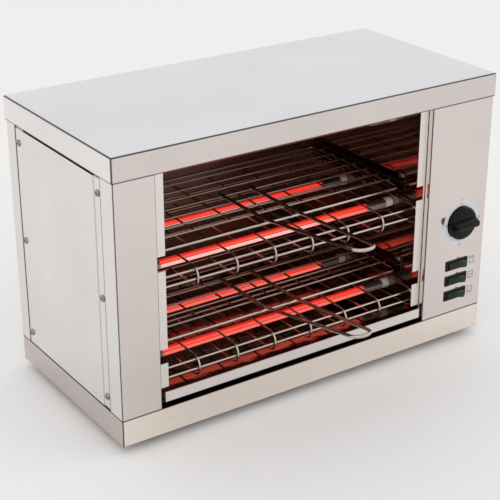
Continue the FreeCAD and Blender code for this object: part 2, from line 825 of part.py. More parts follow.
def guardBars(z):
    bend = (guardTopRise + guardDrop) / 2
    bendY = guardFrontY + bend
    bendZ = z + (guardTopRise - guardDrop) / 2
    inside = bend - guardWireR - weldGap - guardBarR
    places = []
    for angle in (guardBarUpAngle, guardBarLowAngle):
        turn = math.radians(angle)
        places.append((bendY - inside * math.cos(turn), bendZ + inside * math.sin(turn)))
    rearY = guardBackY - guardRearBarInset
    for y, height in ((rearY, 1), (rearY, -1), ((tubeFrontY + tubeBackY) / 2, 1)):
        places.append((y, bendZ + height * inside))
    return [rod(Vector(wallLeft + seatGap, y, height), Vector(wallRight - seatGap, y, height),
                guardBarR) for y, height in places]


guardNames = ["lower", "middle"]
for level in range(rackLevels):
    keep(guardNames[level] + "_guard_wires", *guardWires(tubeZ[level]))
    keep(guardNames[level] + "_guard_bars", *guardBars(tubeZ[level]))


# Heating elements: a quartz tube with its coil, and a ceramic cap at each end
def quartzTube(y, z):
    start = Vector(wallLeft - tubeEndPast, y, z)
    end = Vector(wallRight + tubeEndPast, y, z)
    return rod(start, end, tubeR).cut(rod(start, end, tubeR - tubeWall))


def heaterCoil(y, z):
    drop = tubeR - tubeWall - coilR - seatGap
    left = Vector(wallLeft - leadEndPast, y, z - drop)
    right = Vector(wallRight + leadEndPast, y, z - drop)
    coil = rod(left + alongX * (leadEndPast + capLength), right - alongX * (leadEndPast + capLength), coilR)
    return coil.fuse(rod(left, right, leadR)).removeSplitter()


def endCap(inner, sign, y, z):
    out = alongX * -sign
    wall = Vector(inner, y, z)
    start = wall - out * capLength
    end = wall + out * capPast
    cap = rod(start + out * capTaper, end, capR)
    cap = cap.fuse(Part.makeCone(capTipR, capR, capTaper, start, out))
    collar = wall + out * (chamberSheet + seatGap)
    cap = cap.fuse(rod(collar, collar + out * collarT, collarR))
    cap = cap.cut(rod(start, wall + out * (tubeEndPast + seatGap), tubeR + capFit))
    drop = tubeR - tubeWall - coilR - seatGap
    lead = Vector(0, 0, -drop)
    return cap.cut(rod(wall + lead, end + out + lead, leadR + leadHoleFit)).removeSplitter()


caps = []
number = 1
for z in tubeZ:
    for y in tubeRows:
        keep("quartz_tube_" + str(number), quartzTube(y, z))
        keep("heater_coil_" + str(number), heaterCoil(y, z))
        caps.append(endCap(wallLeft, 1, y, z))
        caps.append(endCap(wallRight, -1, y, z))
        number += 1
keep("tube_end_caps", *caps)


# Bus bars: one joins all the elements on the left, and one joins each pair on the right
def busBars():
    left = wallLeft - leadEndPast - seatGap
    right = wallRight + leadEndPast + seatGap
    bars = []
    neutral = box(left - busT, left, -busHalfW, busHalfW, tubeZ[0], tubeZ[-1])
    for z in tubeZ:
        neutral = neutral.fuse(box(left - busT, left, tubeFrontY - busPast, tubeBackY + busPast,
                                   z - busHalfW, z + busHalfW))
        bars.append(box(right, right + busT, tubeFrontY - busPast, tubeBackY + busPast,
                        z - busHalfW, z + busHalfW))
    return [neutral.removeSplitter()] + bars


keep("bus_bars", *busBars())


# Crumb tray, with its folded-up front strip
def crumbTray():
    left = wallLeft + trayClear
    right = wallRight - trayClearRight
    topZ = trayFloorZ + trayWallH
    backY = reflectorY - trayBackGap
    stripY = panelFaceY + trayStripInset
    frontY = stripY + trayLip
    tray = box(left, right, frontY, backY, trayFloorZ, topZ)
    tray = tray.cut(box(left + traySheet, right - traySheet, frontY - cutPast, backY - traySheet,
                        trayFloorZ + traySheet, topZ + cutPast))
    lip = box(left + traySheet, right - traySheet, stripY, frontY + traySheet,
              trayFloorZ, trayFloorZ + traySheet)
    strip = box(left + trayStripIn, right + trayStripOut, stripY, stripY + trayStripT,
                trayFloorZ, trayFloorZ + trayStripH)
    return tray.fuse([lip, strip]).removeSplitter()


keep("crumb_tray", crumbTray())


# Timer
def timerBodyShape():
    backFace = panelFaceY + sheet + seatGap
    half = timerBody / 2
    body = box(timerX - half, timerX + half, backFace, backFace + timerDepth, timerZ - half, timerZ + half)
    axis = Vector(timerX, backFace, timerZ)
    body = body.fuse(rod(axis - alongY * (sheet + seatGap + bushOut), axis + alongY, bushR))
    bore = rod(axis - alongY * timerDepth, axis + alongY * shaftIn, shaftR + shaftFit)
    return body.cut(bore).removeSplitter()


def timerShaft():
    front = Vector(timerX, panelFaceY - knobGap - knobH + knobBoreEnd + seatGap, timerZ)
    back = Vector(timerX, panelFaceY + sheet + shaftIn, timerZ)
    return rod(front, back, shaftR)


def timerNut():
    nut = hexPrism(Vector(timerX, panelFaceY - weldGap - nutT, timerZ), alongY, nutAcross, nutT)
    middle = Vector(timerX, panelFaceY, timerZ)
    return nut.cut(rod(middle - alongY * timerDepth, middle + alongY, bushR + bushFit))


def timerKnob():
    back = Vector(timerX, panelFaceY - knobGap, timerZ)
    out = Vector(0, -1, 0)
    skirt = Part.makeCone(knobSkirtR, knobSkirtR - knobEdgeR, knobSkirtT, back, out)
    body = Part.makeCone(knobBodyR, knobBodyR - knobEdgeR, knobBodyH, back, out)
    half = knobGripL / 2
    grip = box(timerX - half, timerX + half, back.y - knobH, back.y, timerZ - knobGripW / 2,
               timerZ + knobGripW / 2)
    grip = grip.common(rod(back, back + out * knobH, half))
    front = [edge for edge in grip.Edges if abs(edge.CenterOfMass.y - (back.y - knobH)) < 1e-6]
    grip = grip.makeFillet(knobGripEdgeR, front)
    knob = skirt.fuse([body, grip]).removeSplitter()
    knob = knob.cut(rod(back - out, back + out * knobRecessD, knobRecessR))
    return knob.cut(rod(back - out, back + out * (knobH - knobBoreEnd), shaftR + shaftFit))


keep("timer_body", timerBodyShape())
keep("timer_shaft", timerShaft())
keep("timer_nut", timerNut())
keep("timer_knob", timerKnob())


# Rocker switches
def rockerHousing(z):
    front = panelFaceY - weldGap
    bezel = box(rockerX - bezelW / 2, rockerX + bezelW / 2, front - bezelT, front,
                z - bezelH / 2, z + bezelH / 2)
    edges = [edge for edge in bezel.Edges if abs(edge.CenterOfMass.y - front + bezelT) < 1e-6]
    bezel = bezel.makeChamfer(bezelChamfer, edges)
    body = box(rockerX - housingW / 2, rockerX + housingW / 2, front, front + housingD,
               z - housingH / 2, z + housingH / 2)
    housing = bezel.fuse(body)
    housing = housing.cut(box(rockerX - cavityW / 2, rockerX + cavityW / 2, front - bezelT - cutPast,
                              front - bezelT + cavityD, z - cavityH / 2, z + cavityH / 2))
    pivot = Vector(rockerX, front - bezelT + pivotIn, z)
    reach = alongZ * (cavityH / 2 + pivotEnd + weldGap)
    return housing.cut(rod(pivot - reach, pivot + reach, pivotR + pivotFit)).removeSplitter()


def rockerPaddle(z):
    pivotY = panelFaceY - weldGap - bezelT + pivotIn
    tip = paddleRise + paddleHalfW * math.tan(math.radians(paddleTilt))
    outline = [(-paddleHalfW, -tip), (0, -paddleRise), (paddleHalfW, -tip),
               (paddleWaist, -paddleWaistOut), (paddleBackHalfW, paddleBackIn),
               (-paddleBackHalfW, paddleBackIn), (-paddleWaist, -paddleWaistOut)]
    low = z - paddleH / 2
    points = [Vector(rockerX + x, pivotY + y, low) for x, y in outline]
    points.append(points[0])
    paddle = Part.Face(Part.makePolygon(points)).extrude(alongZ * paddleH)
    pivot = Vector(rockerX, pivotY, z)
    reach = alongZ * (cavityH / 2 + pivotEnd)
    paddle = paddle.fuse(rod(pivot - reach, pivot + reach, pivotR)).removeSplitter()
    paddle.rotate(pivot, alongZ, -paddleTilt)
    return paddle


rockerNames = ["upper", "middle", "lower"]
for k in range(rockerCount):
    z = rockerTopZ - k * rockerPitch
    keep(rockerNames[k] + "_switch_housing", rockerHousing(z))
    keep(rockerNames[k] + "_switch_rocker", rockerPaddle(z))


# Supply: gland, terminal block, earth stud and the leads between them
def cableGland():
    face = Vector(glandX, bodyY + seatGap, glandZ)
    flange = hexPrism(face, alongY, glandFlats, glandFlangeT)
    dome = Part.makeCone(glandDomeR, glandDomeR - glandDomeTaper, glandDomeL,
                         face + alongY * glandFlangeT, alongY)
    thread = rod(face - alongY * (sheet + seatGap + glandInside), face, glandThreadR)
    gland = flange.fuse([dome, thread])
    reach = glandInside + glandFlangeT + glandDomeL
    bore = rod(face - alongY * reach, face + alongY * reach, glandBoreR)
    gland = gland.cut(bore).removeSplitter()
    inner = Vector(glandX, bodyY - sheet - seatGap - glandNutT, glandZ)
    nut = hexPrism(inner, alongY, glandFlats, glandNutT)
    nut = nut.cut(rod(inner - alongY, inner + alongY * (glandNutT + cutPast), glandThreadR + glandFit / 2))
    return [gland, nut]


def terminalBlock():
    block = box(blockX - blockW / 2, blockX + blockW / 2, blockY - blockD / 2, blockY + blockD / 2,
                panInnerZ, panInnerZ + blockH)
    pitch = blockW / blockWays
    for k in range(blockWays):
        x = blockX + (k - (blockWays - 1) / 2) * pitch
        place = Vector(x, blockY, panInnerZ)
        block = block.cut(rod(place + alongZ * (blockH - wellD), place + alongZ * (blockH + cutPast), wellR))
    return block


def earthStud():
    place = Vector(earthX, earthY, 0)
    head = rod(place - alongZ * (nutH + weldGap), place - alongZ * weldGap, nutFlats / 2)
    stud = head.fuse(rod(place - alongZ * weldGap, place + alongZ * earthH, screwR)).removeSplitter()
    nut = hexPrism(place + alongZ * panInnerZ, alongZ, nutFlats, nutH)
    return [stud, nut.cut(rod(place, place + alongZ * earthH, screwR + weldGap))]


# A lead along hand-chosen points, with each bend as wide as its two runs allow
def lead(points):
    radii = [0.0]
    for i in range(1, len(points) - 1):
        into = points[i] - points[i - 1]
        out = points[i + 1] - points[i]
        shorter = min(into.Length, out.Length)
        radii.append(0.45 * shorter / math.tan(into.getAngle(out) / 2))
    radii.append(0.0)
    return bentWire(points, radii, wireR)


def internalLeads():
    pitch = blockW / blockWays
    sideY = blockY - blockD / 2 - seatGap
    sideZ = panInnerZ + blockH / 2
    timerBackY = panelFaceY + sheet + seatGap + timerDepth + seatGap
    timerLowZ = timerZ - timerBody / 2 - seatGap
    switchBackY = panelFaceY - weldGap + housingD + seatGap
    barX = wallRight + leadEndPast + seatGap + busT + seatGap
    neutralX = wallLeft - leadEndPast - seatGap - busT / 2
    leads = []
    blockTop = panInnerZ + blockH + seatGap
    leads.append(lead([Vector(blockX, blockY, blockTop),
                       Vector(blockX, blockY, blockTop + 50),
                       Vector(blockX, blockY - 50, blockTop + 90),
                       Vector(timerX, timerBackY + 50, timerZ - 30),
                       Vector(timerX, timerBackY + 40, timerZ),
                       Vector(timerX, timerBackY, timerZ)]))
    neutral = blockX - pitch
    leads.append(lead([Vector(neutral, sideY, sideZ),
                       Vector(neutral, sideY - 16, sideZ),
                       Vector(neutral - 10, leadHoleY, leadHoleZ),
                       Vector(shieldX - 16, leadHoleY, leadHoleZ),
                       Vector(wallLeft + 6, leadHoleY, leadHoleZ + 2),
                       Vector(neutralX, leadHoleY, leadHoleZ + 16),
                       Vector(neutralX, leadHoleY, tubeZ[0] - busHalfW - seatGap)]))
    leads.append(lead([Vector(earthX, earthY - screwR - weldGap - wireR, panInnerZ + nutH + 4),
                       Vector(earthX, sideY - 8, panInnerZ + nutH + 4),
                       Vector(blockX + pitch, sideY - 12, sideZ),
                       Vector(blockX + pitch, sideY, sideZ)]))
    leads.append(lead([Vector(timerX + 8, timerBackY - 10, timerLowZ),
                       Vector(timerX + 8, timerBackY - 10, timerLowZ - 13),
                       Vector(rockerX + 8, timerBackY + 2, rockerTopZ),
                       Vector(rockerX + 8, switchBackY, rockerTopZ)]))
    for k in range(rockerCount):
        z = rockerTopZ - k * rockerPitch
        barZ = tubeZ[-1 - k]
        x = rockerX - 10 - 5 * k
        leads.append(lead([Vector(rockerX, switchBackY, z),
                           Vector(rockerX, switchBackY + 18, z),
                           Vector(x, elementLeadY, z - 12),
                           Vector(x, elementLeadY, barZ),
                           Vector(barX, elementLeadY, barZ)]))
    return leads


keep("cable_gland", *cableGland())
keep("terminal_block", terminalBlock())
keep("earth_stud", *earthStud())
keep("internal_leads", *internalLeads())
print("case moved by", round(caseY, 3), "reach", frontReach, backReach)
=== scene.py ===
import json
import math
import bmesh
import bpy
from mathutils import Matrix, Vector


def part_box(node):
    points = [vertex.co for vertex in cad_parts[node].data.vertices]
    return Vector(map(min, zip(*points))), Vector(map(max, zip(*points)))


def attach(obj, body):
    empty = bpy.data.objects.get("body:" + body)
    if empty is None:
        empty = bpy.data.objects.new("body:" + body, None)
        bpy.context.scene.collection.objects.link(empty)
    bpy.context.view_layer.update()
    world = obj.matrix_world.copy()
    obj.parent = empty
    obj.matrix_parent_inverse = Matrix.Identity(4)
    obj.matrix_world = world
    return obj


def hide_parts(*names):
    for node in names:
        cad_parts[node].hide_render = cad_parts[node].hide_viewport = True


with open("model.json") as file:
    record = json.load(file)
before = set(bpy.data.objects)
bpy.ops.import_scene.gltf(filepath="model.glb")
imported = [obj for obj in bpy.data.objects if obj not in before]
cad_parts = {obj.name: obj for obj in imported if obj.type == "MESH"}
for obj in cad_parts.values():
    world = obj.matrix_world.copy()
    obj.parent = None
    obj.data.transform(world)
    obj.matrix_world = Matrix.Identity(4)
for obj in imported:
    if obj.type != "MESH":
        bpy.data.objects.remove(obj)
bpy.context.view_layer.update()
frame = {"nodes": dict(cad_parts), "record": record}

# Bar toaster: a folded steel case, two sliding wire racks and three levels of glowing tubes.
# Sizes are in millimetres and angles in degrees, and mm turns a size into Blender's metres.
mm = 0.001
nodes = frame["nodes"]
meshing = {
    "sharpFrom": 38,  # an edge that turns more than this is shaded sharp
    "weld": 0.02,  # vertices nearer to each other than this become one
    "shortestRun": 0.001,  # a straight run shorter than this is left out
}


# Small tools


def middle(node):
    low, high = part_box(node)
    return (low + high) / 2


def newPiece(name, bm, material, body, replaced=()):
    bmesh.ops.recalc_face_normals(bm, faces=bm.faces[:])
    mesh = bpy.data.meshes.new(name)
    bm.to_mesh(mesh)
    bm.free()
    piece = bpy.data.objects.new(name, mesh)
    bpy.context.scene.collection.objects.link(piece)
    mesh.materials.append(material)
    mesh.set_sharp_from_angle(angle=math.radians(meshing["sharpFrom"]))
    mesh.polygons.foreach_set("use_smooth", [True] * len(mesh.polygons))
    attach(piece, body)
    if replaced:
        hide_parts(*replaced)


def ringAt(bm, place, radius, sides, filled=False):
    made = bmesh.ops.create_circle(bm, cap_ends=filled, segments=sides, radius=radius, matrix=place)["verts"]
    return made, list(dict.fromkeys(edge for vert in made for edge in vert.link_edges))


def pullEdges(bm, edges, along):
    grown = bmesh.ops.extrude_edge_only(bm, edges=edges)["geom"]
    verts = [g for g in grown if isinstance(g, bmesh.types.BMVert)]
    bmesh.ops.translate(bm, verts=verts, vec=along)
    return [g for g in grown if isinstance(g, bmesh.types.BMEdge) and all(v in verts for v in g.verts)]


# A round wire through the points, with a bend's radius at each: one ring of vertices is drawn
# along the straight runs and spun round the bends.
def drawWire(bm, points, bends, radius, sides, closed=False, bendSteps=9):
    points = [Vector(point) for point in points]
    along = (points[1] - points[0]).normalized()
    place = Matrix.Translation(points[0]) @ along.to_track_quat("Z", "Y").to_matrix().to_4x4()
    first, edges = ringAt(bm, place, radius, sides, not closed)
    at = points[0]
    for i in range(1, len(points)):
        into = (points[i] - points[i - 1]).normalized()
        bend = bends[i] if i < len(points) - 1 else 0
        stop = points[i]
        if bend:
            out = (points[i + 1] - points[i]).normalized()
            turn = into.angle(out)
            stop = points[i] - into * (bend * math.tan(turn / 2))
        if (stop - at).length > meshing["shortestRun"] * mm:
            edges = pullEdges(bm, edges, stop - at)
        at = stop
        if bend:
            axis = into.cross(out).normalized()
            verts = list(dict.fromkeys(v for edge in edges for v in edge.verts))
            spun = bmesh.ops.spin(bm, geom=verts + edges, cent=stop + axis.cross(into) * bend, axis=axis,
                                  angle=turn, steps=bendSteps, use_duplicate=False)
            edges = [g for g in spun["geom_last"] if isinstance(g, bmesh.types.BMEdge)]
            at = points[i] + out * (bend * math.tan(turn / 2))
    if closed:
        ends = list(dict.fromkeys(first + [v for edge in edges for v in edge.verts]))
        bmesh.ops.remove_doubles(bm, verts=ends, dist=meshing["weld"] * mm)
    else:
        bmesh.ops.contextual_create(bm, geom=edges)


def weldBead(bm, place, radius, stretch):
    matrix = Matrix.Translation(place) @ Matrix.Diagonal((*stretch, 1))
    bmesh.ops.create_icosphere(bm, subdivisions=2, radius=radius, matrix=matrix)


def roundEdges(bm, edges, width, segments, clamp=False):
    bmesh.ops.bevel(bm, geom=edges, offset=width, offset_type="OFFSET", segments=segments,
                    profile=0.5, affect="EDGES", material=-1, clamp_overlap=clamp)


# Materials


# From an sRGB hex value to linear light, by sRGB's own curve.
def hexColour(code):
    channels = [int(code[i:i + 2], 16) / 255 for i in (1, 3, 5)]
    linear = [c / 12.92 if c <= 0.04045 else ((c + 0.055) / 1.055) ** 2.4 for c in channels]
    return (*linear, 1.0)


def addNode(tree, kind, settings=None, inputs=None):
    node = tree.nodes.new(kind)
    for name, value in (settings or {}).items():
        setattr(node, name, value)
    for name, value in (inputs or {}).items():
        if isinstance(value, bpy.types.NodeSocket):
            tree.links.new(value, node.inputs[name])
        else:
            node.inputs[name].default_value = value
    return node


def startMaterial(name, settings):
    material = bpy.data.materials.new(name)
    material.use_nodes = True
    tree = material.node_tree
    shader = tree.nodes["Principled BSDF"]
    for socket, value in settings.items():
        shader.inputs[socket].default_value = value
    place = addNode(tree, "ShaderNodeTexCoord").outputs["Object"]
    return material, tree, shader, place


def setRamp(ramp, positions, colours):
    elements = ramp.color_ramp.elements
    while len(elements) < len(positions):
        elements.new(positions[-1])
    for element, position, colour in zip(elements, positions, colours):
        element.position = position
        element.color = hexColour(colour)


noiseSpan = (0.3, 0.7)  # nearly all of a noise texture's values lie between these
skinMm = 0.1  # height of the finest bumps


# Stainless sheet, ground with a fine belt, which gives soft lines along the sheet and blurs
# what it reflects. The real lines are about 0.2 mm apart, and are drawn coarser so that they
# show. Each way that a face looks has its own tone, which is painted light and shade, a fold
# is darkened with painted shade, and a seam holds a dark line of painted shadow.
ground = {
    "lineMm": 1.4, "lineLength": 60, "lineDepthMm": 0.04, "lineStrength": 0.02,
    "roughness": 0.24, "roughSpread": 0.05,
    "foldFrom": 0.72, "foldTo": 0.99, "foldShade": 0.10,  # a fold faces no single way, and is darkened with painted shade
    "seamShade": 0.16, "seamCore": 0.4,  # share of a seam's reach that is evenly dark with painted shadow
    "cloudMm": 120, "cloudSpan": (0.35, 0.65), "cloudShade": 0.95,  # patches left by wiping and handling
}


def groundSteel(name, tones, grain, shadowSeams=(), roughness=ground["roughness"], foldShade=ground["foldShade"]):
    material, tree, shader, place = startMaterial(name, {"Metallic": 1.0})
    across = 1 / (ground["lineMm"] * mm)
    scale = [across] * 3
    scale["XYZ".index(grain)] = across / ground["lineLength"]
    stretched = addNode(tree, "ShaderNodeMapping", {}, {"Vector": place, "Scale": scale})
    lines = addNode(tree, "ShaderNodeTexNoise", {}, {
        "Vector": stretched.outputs[0], "Scale": 1.0, "Detail": 3.0})
    rough = addNode(tree, "ShaderNodeMapRange", {}, {
        "Value": lines.outputs["Fac"], "From Min": noiseSpan[0], "From Max": noiseSpan[1],
        "To Min": roughness - ground["roughSpread"], "To Max": roughness + ground["roughSpread"]})
    tree.links.new(rough.outputs[0], shader.inputs["Roughness"])
    bump = addNode(tree, "ShaderNodeBump", {}, {
        "Height": lines.outputs["Fac"], "Strength": ground["lineStrength"],
        "Distance": ground["lineDepthMm"] * mm})
    tree.links.new(bump.outputs[0], shader.inputs["Normal"])

    # The squares of a normal's three parts add up to one, so they share out the tones, which are painted
    # light and shade by the way a face looks.
    looks = addNode(tree, "ShaderNodeTexCoord").outputs["Normal"]
    squared = addNode(tree, "ShaderNodeVectorMath", {"operation": "MULTIPLY"}, {0: looks, 1: looks})
    parts = addNode(tree, "ShaderNodeSeparateXYZ", {}, {"Vector": squared.outputs[0]})
    sideways = addNode(tree, "ShaderNodeMix", {"data_type": "RGBA"}, {
        "Factor": parts.outputs["X"], "A": hexColour(tones["front"]), "B": hexColour(tones["side"])})
    upward = addNode(tree, "ShaderNodeMix", {"data_type": "RGBA"}, {
        "Factor": parts.outputs["Z"], "A": sideways.outputs["Result"], "B": hexColour(tones["up"])})
    # Where a face turns at a fold, its colour is darkened: painted shade.
    widest = addNode(tree, "ShaderNodeMath", {"operation": "MAXIMUM"}, {
        0: parts.outputs["X"], 1: parts.outputs["Y"]})
    flat = addNode(tree, "ShaderNodeMath", {"operation": "MAXIMUM"}, {
        0: widest.outputs[0], 1: parts.outputs["Z"]})
    shade = addNode(tree, "ShaderNodeMapRange", {}, {
        "Value": flat.outputs[0], "From Min": ground["foldFrom"], "From Max": ground["foldTo"],
        "To Min": foldShade, "To Max": 1.0}).outputs[0]
    spots = addNode(tree, "ShaderNodeSeparateXYZ", {}, {"Vector": place})
    # Each seam darkens the colour in a line: painted shadow.
    for axis, at, reachMm in shadowSeams:
        away = addNode(tree, "ShaderNodeMath", {"operation": "SUBTRACT"}, {0: spots.outputs[axis], 1: at})
        size = addNode(tree, "ShaderNodeMath", {"operation": "ABSOLUTE"}, {0: away.outputs[0]})
        line = addNode(tree, "ShaderNodeMapRange", {}, {
            "Value": size.outputs[0], "From Min": ground["seamCore"] * reachMm * mm,
            "From Max": reachMm * mm, "To Min": ground["seamShade"], "To Max": 1.0})
        shade = addNode(tree, "ShaderNodeMath", {"operation": "MULTIPLY"}, {
            0: shade, 1: line.outputs[0]}).outputs[0]
    cloud = addNode(tree, "ShaderNodeTexNoise", {}, {
        "Vector": place, "Scale": 1 / (ground["cloudMm"] * mm), "Detail": 2.0})
    handled = addNode(tree, "ShaderNodeMapRange", {}, {
        "Value": cloud.outputs["Fac"], "From Min": ground["cloudSpan"][0],
        "From Max": ground["cloudSpan"][1], "To Min": ground["cloudShade"], "To Max": 1.0})
    shade = addNode(tree, "ShaderNodeMath", {"operation": "MULTIPLY"}, {
        0: shade, 1: handled.outputs[0]}).outputs[0]
    tone = addNode(tree, "ShaderNodeVectorMath", {"operation": "SCALE"}, {
        0: upward.outputs["Result"], "Scale": shade})
    tree.links.new(tone.outputs[0], shader.inputs["Base Color"])
    return material


# Bright-rolled stainless round the heat: a mirror that has turned straw and brown in slow
# patches, and that bulges a little, so that it bends the tubes' reflections. Where a front
# edge stands outside the heat, it keeps the case's pale tone.
mirror = {
    "patchSpan": (0.36, 0.64),  # where in the noise the cool and the hot tone are full
    "pale": "#E6DFDA", "paleRoughness": 0.34, "paleFadeMm": 0.1,
    "flangeMm": 1.1, "stripMm": 1.5,  # depth of the walls' flange and of the tray's strip
}


def mirrorSteel(name, cool, hot, roughness, patchMm, waveMm, waveDepth, paleBefore=None):
    material, tree, shader, place = startMaterial(name, {"Metallic": 1.0})
    cloud = addNode(tree, "ShaderNodeTexNoise", {}, {
        "Vector": place, "Scale": 1 / (patchMm * mm), "Detail": 4.0})
    shade = addNode(tree, "ShaderNodeValToRGB", {}, {"Fac": cloud.outputs["Fac"]})
    setRamp(shade, mirror["patchSpan"], (cool, hot))
    tone = shade.outputs[0]
    rough = addNode(tree, "ShaderNodeMapRange", {}, {
        "Value": cloud.outputs["Fac"], "From Min": noiseSpan[0], "From Max": noiseSpan[1],
        "To Min": roughness, "To Max": roughness * 2}).outputs[0]
    wave = addNode(tree, "ShaderNodeTexNoise", {}, {
        "Vector": place, "Scale": 1 / (waveMm * mm), "Detail": 1.0})
    bump = addNode(tree, "ShaderNodeBump", {}, {
        "Height": wave.outputs["Fac"], "Strength": 1.0, "Distance": waveDepth * mm})
    tree.links.new(bump.outputs[0], shader.inputs["Normal"])
    if paleBefore is not None:
        spots = addNode(tree, "ShaderNodeSeparateXYZ", {}, {"Vector": place})
        pale = addNode(tree, "ShaderNodeMapRange", {}, {
            "Value": spots.outputs["Y"], "From Min": paleBefore + mirror["paleFadeMm"] * mm,
            "From Max": paleBefore})
        tone = addNode(tree, "ShaderNodeMix", {"data_type": "RGBA"}, {
            "Factor": pale.outputs[0], "A": tone, "B": hexColour(mirror["pale"])}).outputs["Result"]
        rough = addNode(tree, "ShaderNodeMix", {"data_type": "FLOAT"}, {
            "Factor": pale.outputs[0], "A": rough, "B": mirror["paleRoughness"]}).outputs["Result"]
    tree.links.new(tone, shader.inputs["Base Color"])
    tree.links.new(rough, shader.inputs["Roughness"])
    return material


# Chromed wire. In front of the tubes it stays bright, and above and behind them the heat has
# browned it, in small patches that also dull it.
chrome = {
    "bright": "#BDB3A9", "brown": "#A08C80", "brightTo": -26, "brownFrom": 8,
    "patchMm": 14, "patchAmount": 0.5, "brightRoughness": 0.16, "brownRoughness": 0.32,
}


def browningWire(name):
    material, tree, shader, place = startMaterial(name, {"Metallic": 1.0})
    spots = addNode(tree, "ShaderNodeSeparateXYZ", {}, {"Vector": place})
    heat = addNode(tree, "ShaderNodeMapRange", {"interpolation_type": "SMOOTHSTEP"}, {
        "Value": spots.outputs["Y"], "From Min": chrome["brightTo"] * mm,
        "From Max": chrome["brownFrom"] * mm})
    cloud = addNode(tree, "ShaderNodeTexNoise", {}, {
        "Vector": place, "Scale": 1 / (chrome["patchMm"] * mm), "Detail": 3.0})
    patchy = addNode(tree, "ShaderNodeMath", {"operation": "MULTIPLY_ADD"}, {
        0: cloud.outputs["Fac"], 1: chrome["patchAmount"], 2: -chrome["patchAmount"] / 2})
    amount = addNode(tree, "ShaderNodeMath", {"operation": "ADD", "use_clamp": True}, {
        0: heat.outputs[0], 1: patchy.outputs[0]})
    tone = addNode(tree, "ShaderNodeMix", {"data_type": "RGBA"}, {
        "Factor": amount.outputs[0], "A": hexColour(chrome["bright"]), "B": hexColour(chrome["brown"])})
    rough = addNode(tree, "ShaderNodeMapRange", {}, {
        "Value": amount.outputs[0], "To Min": chrome["brightRoughness"], "To Max": chrome["brownRoughness"]})
    tree.links.new(tone.outputs["Result"], shader.inputs["Base Color"])
    tree.links.new(rough.outputs[0], shader.inputs["Roughness"])
    return material


# Moulded plastic, rubber, fired clay, ink or a plain metal: two near tones over a fine grain,
# with a pitted or spangled skin.
def grained(name, light, dark, roughness, grainMm, deep, shine=0.5, metallic=0.0):
    material, tree, shader, place = startMaterial(
        name, {"Roughness": roughness, "Specular IOR Level": shine, "Metallic": metallic})
    grain = addNode(tree, "ShaderNodeTexNoise", {}, {
        "Vector": place, "Scale": 1 / (grainMm * mm), "Detail": 2.0})
    shade = addNode(tree, "ShaderNodeValToRGB", {}, {"Fac": grain.outputs["Fac"]})
    setRamp(shade, noiseSpan, (dark, light))
    tree.links.new(shade.outputs[0], shader.inputs["Base Color"])
    bump = addNode(tree, "ShaderNodeBump", {}, {
        "Height": grain.outputs["Fac"], "Strength": deep, "Distance": skinMm * mm})
    tree.links.new(bump.outputs[0], shader.inputs["Normal"])
    return material


# Glazed ceramic cap on a tube's cold end: darker on its upper part, as painted shade, paler
# below, as painted light, and paler again where it meets the wall. Heights repeat from level
# to level, so one finish serves them all.
caps = {
    "shadedTop": "#3A302A", "plain": "#9C8C81", "wallEnd": "#F0E6DC", "roughness": 0.35,
    "riseMm": 2.4, "edgeMm": 0.8,  # the painted shade starts this far above the tube's axis
    "wallEndMm": 7.0, "wallEndFadeMm": 2.0, "pitMm": 1.2, "pitStrength": 0.2,
}


def shadedCeramic(name):
    material, tree, shader, place = startMaterial(name, {"Roughness": caps["roughness"]})
    spots = addNode(tree, "ShaderNodeSeparateXYZ", {}, {"Vector": place})
    low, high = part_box("crumb_tray")
    lowest, following = middle("quartz_tube_1").z, middle("quartz_tube_3").z
    half = (following - lowest) / 2
    height = addNode(tree, "ShaderNodeMath", {"operation": "WRAP"}, {
        0: spots.outputs["Z"], 1: lowest + half, 2: lowest - half})
    # Upper part darker as painted shade, lower part paler as painted light.
    upper = addNode(tree, "ShaderNodeMapRange", {}, {
        "Value": height.outputs[0], "From Min": lowest + (caps["riseMm"] - caps["edgeMm"]) * mm,
        "From Max": lowest + (caps["riseMm"] + caps["edgeMm"]) * mm})
    tone = addNode(tree, "ShaderNodeMix", {"data_type": "RGBA"}, {
        "Factor": upper.outputs[0], "A": hexColour(caps["plain"]), "B": hexColour(caps["shadedTop"])})
    across = addNode(tree, "ShaderNodeMath", {"operation": "SUBTRACT"}, {
        0: spots.outputs["X"], 1: (low.x + high.x) / 2})
    outward = addNode(tree, "ShaderNodeMath", {"operation": "ABSOLUTE"}, {0: across.outputs[0]})
    wall = (high.x - low.x) / 2
    wallEnd = addNode(tree, "ShaderNodeMapRange", {}, {
        "Value": outward.outputs[0], "From Min": wall - (caps["wallEndMm"] + caps["wallEndFadeMm"]) * mm,
        "From Max": wall - caps["wallEndMm"] * mm})
    whole = addNode(tree, "ShaderNodeMix", {"data_type": "RGBA"}, {
        "Factor": wallEnd.outputs[0], "A": tone.outputs["Result"], "B": hexColour(caps["wallEnd"])})
    pits = addNode(tree, "ShaderNodeTexNoise", {}, {
        "Vector": place, "Scale": 1 / (caps["pitMm"] * mm), "Detail": 2.0})
    bump = addNode(tree, "ShaderNodeBump", {}, {
        "Height": pits.outputs["Fac"], "Strength": caps["pitStrength"], "Distance": skinMm * mm})
    tree.links.new(whole.outputs["Result"], shader.inputs["Base Color"])
    tree.links.new(bump.outputs[0], shader.inputs["Normal"])
    return material


